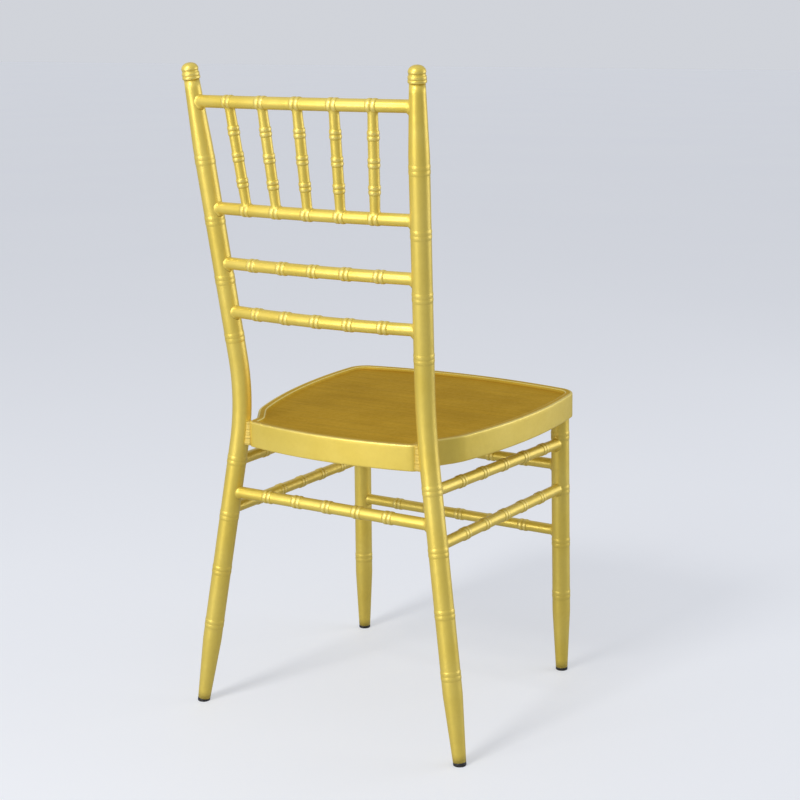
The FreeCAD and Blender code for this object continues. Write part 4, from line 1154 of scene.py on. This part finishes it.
# Floor, lights, world and camera
def floor_material():
    """Smooth floor with a faint cloudy tone, paler to the camera than to the chair."""
    material, tree, shader, place = new_material("pale_floor")
    cloud = noise(tree, place, FLOOR_CLOUD_SCALE, 2.0)
    colour = blend(tree, cloud, linear(*FLOOR_COLOURS[0]), linear(*FLOOR_COLOURS[1]))
    tree.links.new(colour, shader.inputs["Base Color"])
    shader.inputs["Roughness"].default_value = FLOOR_ROUGHNESS
    shader.inputs["Specular IOR Level"].default_value = FLOOR_SHINE
    seen = node(tree, "ShaderNodeLightPath").outputs["Is Camera Ray"]
    shader.inputs["Emission Color"].default_value = (*linear(*STUDIO_COLOUR), 1.0)
    glow = calculate(tree, "MULTIPLY", seen, FLOOR_GLOW)
    tree.links.new(glow, shader.inputs["Emission Strength"])
    return material


def stage_floor():
    """The pale floor that the chair stands on."""
    half = FLOOR_HALF
    mesh = bpy.data.meshes.new("floor")
    mesh.from_pydata([(-half, -half, 0), (half, -half, 0), (half, half, 0), (-half, half, 0)],
                     [], [(0, 1, 2, 3)])
    mesh.materials.append(floor_material())
    floor = bpy.data.objects.new("floor", mesh)
    bpy.context.scene.collection.objects.link(floor)


def area_light(name, place, size, power, colour):
    """A soft square lamp aimed at the chair."""
    lamp = bpy.data.lights.new(name, "AREA")
    lamp.size = size
    lamp.energy = power
    lamp.color = colour
    thing = bpy.data.objects.new(name, lamp)
    thing.location = place
    thing.rotation_euler = (LAMP_TARGET - Vector(place)).to_track_quat("-Z", "Y").to_euler()
    bpy.context.scene.collection.objects.link(thing)


def studio_world():
    """Light from all around: one strength for what shines, dimmer at two sides, one for soft
    light and one for what the camera sees.
    """
    world = bpy.data.worlds.new("studio")
    bpy.context.scene.world = world
    world.use_nodes = True
    tree = world.node_tree
    back = tree.nodes["Background"]
    rays = node(tree, "ShaderNodeLightPath")
    direction = node(tree, "ShaderNodeTexCoord").outputs["Generated"]
    light = rays.outputs["Is Glossy Ray"]
    for heading, amount in DIM_SIDES:
        toward = node(tree, "ShaderNodeVectorMath", operation="DOT_PRODUCT")
        toward.inputs[1].default_value = heading
        tree.links.new(direction, toward.inputs[0])
        part = spread(tree, toward.outputs["Value"], DIM_FROM, DIM_FULL, 1.0, 1.0 - amount)
        light = calculate(tree, "MULTIPLY", light, part)
    shine = calculate(tree, "MULTIPLY", light, SHINE_LIGHT)
    soft = calculate(tree, "MULTIPLY", rays.outputs["Is Diffuse Ray"], SOFT_LIGHT)
    seen = calculate(tree, "MULTIPLY", rays.outputs["Is Camera Ray"], SEEN_LIGHT)
    back.inputs["Color"].default_value = (*linear(*STUDIO_COLOUR), 1.0)
    strength = calculate(tree, "ADD", calculate(tree, "ADD", shine, soft), seen)
    tree.links.new(strength, back.inputs["Strength"])


def studio_camera():
    """The camera at the photograph's place."""
    data = bpy.data.cameras.new("camera")
    data.lens = CAMERA_LENS
    data.sensor_width = CAMERA_SENSOR
    data.shift_x, data.shift_y = CAMERA_SHIFT
    camera = bpy.data.objects.new("camera", data)
    camera.location = CAMERA_PLACE
    camera.rotation_euler = (Quaternion(CAMERA_LOOK, CAMERA_ROLL)
                             @ CAMERA_LOOK.to_track_quat("-Z", "Y")).to_euler()
    bpy.context.scene.collection.objects.link(camera)
    bpy.context.scene.camera = camera


stage_floor()
for name, lamp in LAMPS.items():
    area_light(name, *lamp)
studio_world()
studio_camera()
bpy.context.scene.view_settings.view_transform = "Standard"
